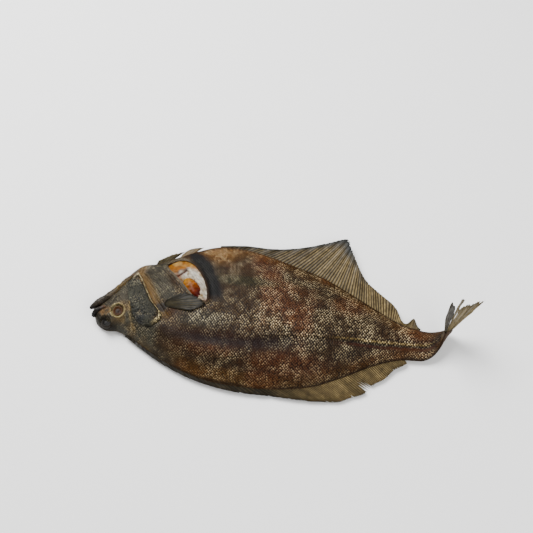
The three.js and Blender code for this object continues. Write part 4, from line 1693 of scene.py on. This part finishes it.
@dataclass
class GillCover:
    """A gill cover: a thin plate of bone and skin lying over the shoulder.

    Attributes:
        form: The trunk that it lies on.
        side: The side that it lies on.
        rise: How far its middle stands out of the skin, in millimetres.
        lip: How far its rear edge stands out.
        share: Its size over the eyed side's outline.
    """

    form: FishForm
    side: Side
    rise: float = 1.1
    lip: float = 0.9
    share: float = 1.0

    def __post_init__(self) -> None:
        """Draws the plate's outline and finds the hollow in it."""
        self.outline = Outline(self.form.spots(GILL_COVER))
        self.hollow = np.array(self.form.spot(0.142, -0.078))

    def build(self) -> bpy.types.Object:
        """Makes the plate, closed along its edge."""
        name = "gill_cover_plate" if self.side is Side.EYED else "blind_gill_cover_plate"
        return sew(name, 120, 72, self.surface)

    def surface(self, along: np.ndarray, around: np.ndarray) -> Surface:
        """Places the plate: out over its face and back underneath."""
        out = out_and_back(around)
        outer = around < 0.5
        centre = self.outline.middle
        rim = centre + (self.outline.at(along) - centre) * self.share
        flat = centre + (rim - centre) * (out**0.8)[:, None]
        spots = flat3(*flat.T)
        sign = float(self.side.value)
        base = self.form.over(flat, self.side)
        rear = ramp(-0.2, 0.6, self._rearward(flat))
        relief = self._relief(flat, spots, out, rear)
        thick = np.sqrt(np.clip(1.0 - out**10, 0.0, 1.0))
        curl = self.lip * rear * ramp(0.55, 0.95, out)
        top = curl + self.rise * thick + relief * thick
        under = curl - 0.4 * thick
        if self.side is Side.BLIND:
            top, under = 0.55 + 0.4 * thick + 0.25 * relief * thick, 0.55 - 0.9 * thick
        z = base + sign * np.where(outer, top, under)
        points = np.column_stack([flat, np.maximum(z, 0.02)])
        tone = self._tones(spots, out, rear, relief)
        lattice = flat3(*flat.T)
        lattice[:, 2] = 0.5 + 0.5 * Grain(5.0, 131).at(spots)
        return Surface(points, tone, lattice)

    def _rearward(self, flat: np.ndarray) -> np.ndarray:
        """How far towards the rear edge a spot lies, from -1 to 1."""
        offset = flat - self.outline.middle
        return (offset[:, 0] * 0.87 + offset[:, 1] * 0.5) / 9.0

    def _relief(
        self, flat: np.ndarray, spots: np.ndarray, out: np.ndarray, rear: np.ndarray
    ) -> np.ndarray:
        """The plate's hollow, its ribs and its rough dried skin."""
        off = flat - self.hollow
        sunken = -1.5 * bell(np.linalg.norm(off / (5.0, 8.5), axis=1), 1.0)
        fan = np.arctan2(off[:, 1] - 4.0, off[:, 0] + 12.0)
        ribs = 0.22 * np.sin(fan * 16.0) * ramp(0.3, 0.8, out)
        ridge = (0.8 * bell(out - 0.89, 0.06) - 0.7 * bell(out - 0.76, 0.04)) * rear
        rough = 0.45 * Grain(3.6, 137, 3).at(spots) + 0.2 * Grain(1.7, 139).at(spots)
        return sunken + ribs + ridge + rough

    def _tones(
        self, spots: np.ndarray, out: np.ndarray, rear: np.ndarray, relief: np.ndarray
    ) -> np.ndarray:
        """Charcoal, blue-grey in the hollow and tan along the rear edge, with painted shade in
        the crease and over the relief's hollows.
        """
        tone = fill(len(spots), tint("4b4a41" if self.side is Side.EYED else "6b5532"))
        cloud = Grain(7.0, 141, 3).at(spots)
        tone = blend(tone, tint("6c6b60"), ramp(-0.1, 0.6, cloud))
        off = spots[:, :2] - self.hollow
        deep = bell(np.linalg.norm(off / (5.0, 8.0), axis=1), 1.0)
        tone = blend(tone, tint("363c40"), 0.75 * deep)
        edge = ramp(0.82, 0.87, out + 0.02 * cloud) * rear
        tone = blend(tone, tint("cdbd9c"), 0.9 * edge)
        # A dark line painted in the crease inside the rear edge, standing in for its shade.
        crease_shade = bell(out - 0.77, 0.045) * rear
        tone = blend(tone, tint("3a2610"), 0.85 * crease_shade)
        amber = bell(out - 0.7, 0.04) * rear * ramp(-0.2, 0.5, cloud)
        tone = blend(tone, tint("8a6430"), 0.7 * amber)
        # Painted shade and highlight: darker in the relief's hollows, lighter on its ridges.
        return tone * np.clip(1.0 + 0.35 * relief, 0.4, 1.5)[:, None]


@dataclass
class Strand:
    """A swollen bar along a line: a jaw, a lip or a strip of flesh.

    Attributes:
        name: The piece's name.
        line: Points of its middle line, in millimetres.
        widths: Widths across at the line's points.
        depths: Depths at the same points.
        tones: Colours along it, as paint codes.
        knobs: Height of its bumps, in millimetres.
        seed: Picks the bumps.
        flecks: How strongly a scaled finish shows on it.
        columns: Faces along it.
        rows: Faces around it.
    """

    name: str
    line: np.ndarray
    widths: tuple[float, ...]
    depths: tuple[float, ...]
    tones: tuple[str, ...]
    knobs: float = 0.3
    seed: int = 1
    flecks: float = 0.2
    columns: int = 90
    rows: int = 40

    def build(self) -> bpy.types.Object:
        """Makes the strand, closed at both ends."""
        return sew(self.name, self.columns, self.rows, self.surface)

    def surface(self, along: np.ndarray, around: np.ndarray) -> Surface:
        """Places the strand's skin round its middle line."""
        middle = through(self.line, along)
        ahead = heading(self.line, along, 0.02)
        side = unit(np.stack([-ahead[:, 1], ahead[:, 0], np.zeros(len(along))], axis=1))
        angle = around * 2.0 * math.pi
        closing = np.sqrt(np.clip(1.0 - np.abs(2.0 * along - 1.0) ** 7, 0.0, 1.0))
        width = through([[w] for w in self.widths], along)[:, 0] / 2.0 * closing
        depth = through([[d] for d in self.depths], along)[:, 0] / 2.0 * closing
        ring = side * (np.cos(angle) * width)[:, None]
        ring[:, 2] += np.sin(angle) * depth
        bumps = self.knobs * Grain(4.0, self.seed, 3).at(middle + ring)
        size = np.linalg.norm(ring, axis=1)
        ring *= (1.0 + bumps / np.maximum(size, 1.0))[:, None]
        points = middle + ring
        points[:, 2] = np.maximum(points[:, 2], 0.05)
        tone = through([tint(code) for code in self.tones], along)
        # Mottled at random, and painted lighter on the bumps and darker between them, as their
        # highlight and shade.
        cloud = 1.0 + 0.35 * Grain(3.0, self.seed + 3, 2).at(points) + 0.6 * bumps
        length = np.linalg.norm(self.line[-1] - self.line[0])
        girth = angle * (max(self.widths) + max(self.depths)) / 4.0
        lattice = np.stack([along * length, girth, np.full(len(along), self.flecks)], axis=1)
        return Surface(points, np.clip(tone * cloud[:, None], 0.003, 1.0), lattice)


@dataclass
class Head:
    """The jaws and eyes.

    Attributes:
        form: The trunk that they are set in.
    """

    form: FishForm

    def lower_jaw(self) -> bpy.types.Object:
        """Makes the lower jaw, a bar that juts past the snout."""
        places = ((-0.018, -0.03, 0.42), (0.003, 0.009, 0.44), (0.034, 0.066, 0.44))
        line = self._line((*places, (0.071, 0.154, 0.41), (0.098, 0.245, 0.4)))
        return Strand(
            "lower_jaw_bone",
            line,
            (4.4, 5.4, 6.6, 7.0, 5.0),
            (4.0, 6.6, 8.2, 8.6, 7.0),
            ("1d1916", "3a322a", "4f4538", "75603a", "574a3a"),
            knobs=0.75,
            seed=201,
            flecks=0.45,
        ).build()

    def upper_jaw(self) -> bpy.types.Object:
        """Makes the upper jaw with the charred lip round the snout."""
        places = ((-0.001, -0.09, 0.42), (0.002, -0.054, 0.47), (0.02, -0.03, 0.52))
        line = self._line((*places, (0.047, 0.002, 0.56)))
        return Strand(
            "upper_jaw_lip",
            line,
            (3.4, 4.0, 4.0, 2.8),
            (5.0, 6.0, 5.8, 4.0),
            ("1a1714", "221d19", "3a2b1e", "8a6034"),
            knobs=0.9,
            seed=207,
            flecks=0.1,
        ).build()

    def eye(self, node: str, dark: bool) -> bpy.types.Object:
        """Makes an eye that has dried to a dished disc.

        Args:
            node: The CAD eye that it fills.
            dark: Whether the whole eye has dried black.

        Returns:
            The eye.
        """
        box = Box.of(node)
        radius = box.size[0] / 2.0

        def surface(along: np.ndarray, around: np.ndarray) -> Surface:
            """A ball flattened to a dish, from its crown to its foot."""
            angle = along * 2.0 * math.pi
            down = around * math.pi
            out = np.sin(down)
            crown = around < 0.5
            dish = np.where(crown, -1.5 * ramp(0.82, 0.3, out), 0.0)
            flat = np.stack([np.cos(angle), np.sin(angle)], axis=1) * (out * radius)[:, None]
            z = box.middle[2] + np.cos(down) * box.size[2] / 2.0 + dish
            points = np.column_stack([flat + box.middle[:2], z])
            points[:, 2] += 0.22 * Grain(1.8, 211, 2).at(points) * out * (1.0 - out**6)
            tone = self._eye_tones(points, out, dark)
            return Surface(points, tone, flat3(*flat.T, 0.1))

        name = "lower_eye_dish" if node == "lower_eye" else "upper_eye_dish"
        return sew(name, 64, 40, surface)

    @staticmethod
    def _eye_tones(points: np.ndarray, out: np.ndarray, dark: bool) -> np.ndarray:
        """Colours from the pupil to the rim."""
        if dark:
            return blend(fill(len(points), tint("1d1a17")), tint("48413a"), ramp(0.6, 1.0, out))
        tone = blend(fill(len(points), tint("2a190d")), tint("4e331c"), ramp(0.1, 0.6, out))
        cloud = Grain(2.2, 223, 2).at(points)
        tone = tone * (1.0 + 0.4 * cloud)[:, None]
        return blend(tone, tint("d8caa4"), ramp(0.76, 0.92, out + 0.05 * cloud))

    def _line(self, places: Sequence[tuple[float, float, float]]) -> np.ndarray:
        """Middle-line points from stations, shares of width and shares of thickness."""
        return np.array([(*self.form.spot(s, w), t * self.form.thickness) for s, w, t in places])


@dataclass
class BellyFilling:
    """What shows in the slit: its bed of pale flesh and fat, and a lobe of roe.

    Attributes:
        form: The trunk that the slit is cut into.
    """

    form: FishForm

    def __post_init__(self) -> None:
        """Draws the slit and its long axis; u runs along it, v off it to the rear."""
        self.slit = Outline(self.form.spots(SLIT))
        self.start = np.array(self.form.spot(0.222, 0.39))
        run = np.array(self.form.spot(0.338, 0.085)) - self.start
        self.length = np.linalg.norm(run)
        self.down = run / self.length
        self.rearward = np.array([-self.down[1], self.down[0]])

    def bed(self) -> bpy.types.Object:
        """Makes the floor of the slit: belly wall, a flap of fat and torn flesh."""
        return sew("belly_bed", 200, 110, self.surface)

    def surface(self, along: np.ndarray, around: np.ndarray) -> Surface:
        """Places the bed: out over its face and back underneath."""
        out = out_and_back(around)
        middle = self.slit.middle
        flat = middle + (self.slit.at(along) - middle) * (1.05 * out**0.8)[:, None]
        u = (flat - self.start) @ self.down / self.length
        v = (flat - self.start) @ self.rearward
        spots = flat3(*flat.T)
        rough = Grain(2.6, 251, 3).at(spots)
        flap = ramp(0.27, 0.2, u + 0.02 * rough - 0.008 * v)
        depth = 2.4 - 0.16 * v + 1.9 * self._seat(u, v)
        depth = depth * (1.0 - flap) + (0.9 - 0.1 * v) * flap
        depth -= 0.9 * bell(v - 5.0, 2.6) * (1.0 - flap)
        depth += 1.6 * bell(u - 0.275, 0.022) * ramp(5.0, 1.0, v)
        relief = 0.55 * rough + 0.3 * np.sin(v * 2.6 + 3.0 * rough) * (1.0 - flap)
        crust = self.form.over(flat) - np.clip(depth, 0.7, 6.0) + relief
        z = np.where(around < 0.5, crust, crust - 1.6 * (1.0 - out**6))
        tone = self._tones(spots, u, v, flap)
        return Surface(np.column_stack([flat, z]), tone, spots)

    @staticmethod
    def _seat(u: np.ndarray, v: np.ndarray) -> np.ndarray:
        """The hollow that the roe lies in."""
        return bell(np.hypot((u - 0.64) / 0.28, (v + 2.5) / 5.4), 1.0)

    def _tones(
        self, spots: np.ndarray, u: np.ndarray, v: np.ndarray, flap: np.ndarray
    ) -> np.ndarray:
        """White flesh, tan fat, a golden rim and a brown-red painted shadow along the front
        wall.
        """
        cloud = Grain(4.5, 257, 3).at(spots)
        tone = fill(len(spots), 1.5 * tint("e8e3d8"))
        tone = blend(tone, tint("a8906a"), 0.8 * ramp(0.1, 0.65, cloud))
        # A brown-red painted shadow along the front wall, where the bed sinks under the
        # shoulder's edge.
        front = ramp(-2.5, -6.0, v + 1.5 * cloud)
        tone = blend(tone, tint("8a5a34"), 0.8 * front)
        tone = blend(tone, tint("9c7a50"), 0.8 * self._seat(u, v))
        gold = ramp(4.0, 7.5, v + 2.0 * cloud) * ramp(0.55, 0.3, u)
        tone = blend(tone, tint("c08a38"), 0.85 * gold)
        fat = blend(fill(len(spots), tint("a87444")), tint("d8b888"), ramp(-0.1, 0.6, cloud))
        tone = blend(tone, fat, flap)
        # A dark line painted in the groove at the fat flap's edge, standing in for its shade.
        line = bell(u - 0.275, 0.025) * ramp(5.0, 1.0, v)
        tone = blend(tone, tint("5a2412"), 0.9 * line)
        pink = ramp(0.9, 1.0, u + 0.03 * cloud)
        return blend(tone, tint("b08070"), 0.8 * pink)

    def roe(self) -> bpy.types.Object:
        """Makes the lobe of roe where its CAD node lies."""
        box = Box.of("roe")
        start, end = box.spot(0.04, 1.0, 0.5), box.spot(0.96, 0.0, 0.42)
        line = np.linspace(start, end, 4)
        line[:, 2] += (2.2, 3.2, 3.4, 2.4)
        return Strand(
            "roe_lobe",
            line,
            (6.5, 10.6, 10.0, 5.4),
            (5.6, 8.2, 7.8, 4.6),
            ("c49858", "a87238", "80421f", "4e1c14"),
            knobs=0.9,
            seed=241,
        ).build()


# ---- Studio ----------------------------------------------------------------------------


@dataclass
class Studio:
    """A pale table, soft lights and the camera.

    Attributes:
        azimuth: Degrees round from looking along +Y.
        elevation: Degrees above the horizon.
        distance: From the camera to its target, in metres.
        lens: Focal length, in millimetres.
        target: What the camera looks at, in metres.
    """

    azimuth: float = 6.2
    elevation: float = 66.0
    distance: float = 0.64
    lens: float = 55.0
    target: tuple[float, float, float] = (-0.00535, 0.04929, 0.0)

    def set_up(self) -> None:
        """Makes everything that isn't the fish."""
        self._table()
        self._world()
        self._light("key_light", (-0.5, 0.55, 0.95), 0.7, 34.0)
        self._light("fill_light", (0.75, -0.35, 0.8), 0.9, 9.0)
        self._camera()

    def _table(self) -> None:
        """A wide pale floor."""
        mesh = bmesh.new()
        bmesh.ops.create_grid(mesh, x_segments=1, y_segments=1, size=12.0)
        floor = to_piece("table", mesh)
        material = bpy.data.materials.new("pale_table")
        material.use_nodes = True
        shader = material.node_tree.nodes["Principled BSDF"]
        shader.inputs["Base Color"].default_value = (0.9, 0.9, 0.895, 1.0)
        shader.inputs["Roughness"].default_value = 0.75
        floor.data.materials.append(material)

    @staticmethod
    def _world() -> None:
        """Even pale light from all round."""
        world = bpy.data.worlds.new("studio")
        world.use_nodes = True
        ground = world.node_tree.nodes["Background"]
        ground.inputs["Color"].default_value = (1.0, 1.0, 1.0, 1.0)
        ground.inputs["Strength"].default_value = 0.5
        bpy.context.scene.world = world

    @staticmethod
    def _light(name: str, place: tuple[float, float, float], size: float, power: float) -> None:
        """A soft square light aimed at the fish."""
        data = bpy.data.lights.new(name, "AREA")
        data.shape = "SQUARE"
        data.size = size
        data.energy = power
        lamp = bpy.data.objects.new(name, data)
        lamp.location = place
        lamp.rotation_euler = (-Vector(place)).to_track_quat("-Z", "Y").to_euler()
        bpy.context.scene.collection.objects.link(lamp)

    def _camera(self) -> None:
        """The camera, looking down on the eyed side."""
        azimuth, elevation = math.radians(self.azimuth), math.radians(self.elevation)
        back = Vector(
            (
                math.sin(azimuth) * math.cos(elevation),
                -math.cos(azimuth) * math.cos(elevation),
                math.sin(elevation),
            )
        )
        data = bpy.data.cameras.new("camera")
        data.lens = self.lens
        camera = bpy.data.objects.new("camera", data)
        camera.location = Vector(self.target) + back * self.distance
        camera.rotation_euler = (-back).to_track_quat("-Z", "Y").to_euler()
        bpy.context.scene.collection.objects.link(camera)
        bpy.context.scene.camera = camera


# ---- Assembly --------------------------------------------------------------------------


def present(piece: bpy.types.Object, slot: str, *nodes: str) -> None:
    """Hands a finished piece to the frame and reports it.

    Args:
        piece: The finished piece.
        slot: The record's material slot that it stands in; not used.
        nodes: The CAD nodes that it replaces.
    """
    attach(piece, "root")
    if nodes:
        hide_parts(*nodes)
    log.info("%s: %d faces", piece.name, len(piece.data.polygons))


def dressed(piece: bpy.types.Object, material: bpy.types.Material) -> bpy.types.Object:
    """Gives a piece its one material."""
    piece.data.materials.append(material)
    return piece


def main() -> None:
    """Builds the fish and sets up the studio."""
    logging.basicConfig(level=logging.INFO, format="%(name)s: %(message)s")
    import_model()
    form = FishForm()

    fins = DriedFin("dried_fin").make()
    head_skin = ScaledSkin("head_skin", 1.3, "948a76", 0.9, 0.3).make()
    jaw_skin = ScaledSkin("jaw_skin", 1.1, "7a6f5c", 1.0, 0.3, 0.2).make()
    flesh = Flesh("cured_flesh").make()
    roe = Flesh("roe", 700.0, 0.34, 0.2).make()
    eye = GlazedEye("dried_eye").make()

    present(Body(form).build(), "skin", "body")
    filling = BellyFilling(form)
    present(dressed(filling.bed(), flesh), "roe")
    present(dressed(filling.roe(), roe), "roe", "roe")

    present(dressed(GillCover(form, Side.EYED).build(), head_skin), "head_skin", "gill_cover")
    blind_cover = GillCover(form, Side.BLIND, share=0.85).build()
    present(dressed(blind_cover, head_skin), "head_skin", "blind_gill_cover")
    head = Head(form)
    present(dressed(head.lower_jaw(), jaw_skin), "jaw_skin", "lower_jaw")
    present(dressed(head.upper_jaw(), jaw_skin), "jaw_skin", "upper_jaw")
    present(dressed(head.eye("lower_eye", False), eye), "eye", "lower_eye")
    present(dressed(head.eye("upper_eye", True), eye), "eye", "upper_eye")

    for fin in (ANAL_FIN, BACK_FIN):
        present(dressed(fin.build(form), fins), "fin_skin", fin.node)
    present(dressed(TailFin(form).build(), fins), "fin_skin", "tail_fin")
    paired = PairedFins(form)
    for side, prefix in ((Side.EYED, ""), (Side.BLIND, "blind_")):
        present(dressed(paired.pectoral(side), fins), "fin_skin", prefix + "pectoral_fin")
        present(dressed(paired.pelvic(side), fins), "fin_skin", prefix + "pelvic_fin")

    Studio().set_up()


if __name__ == "__main__":
    main()
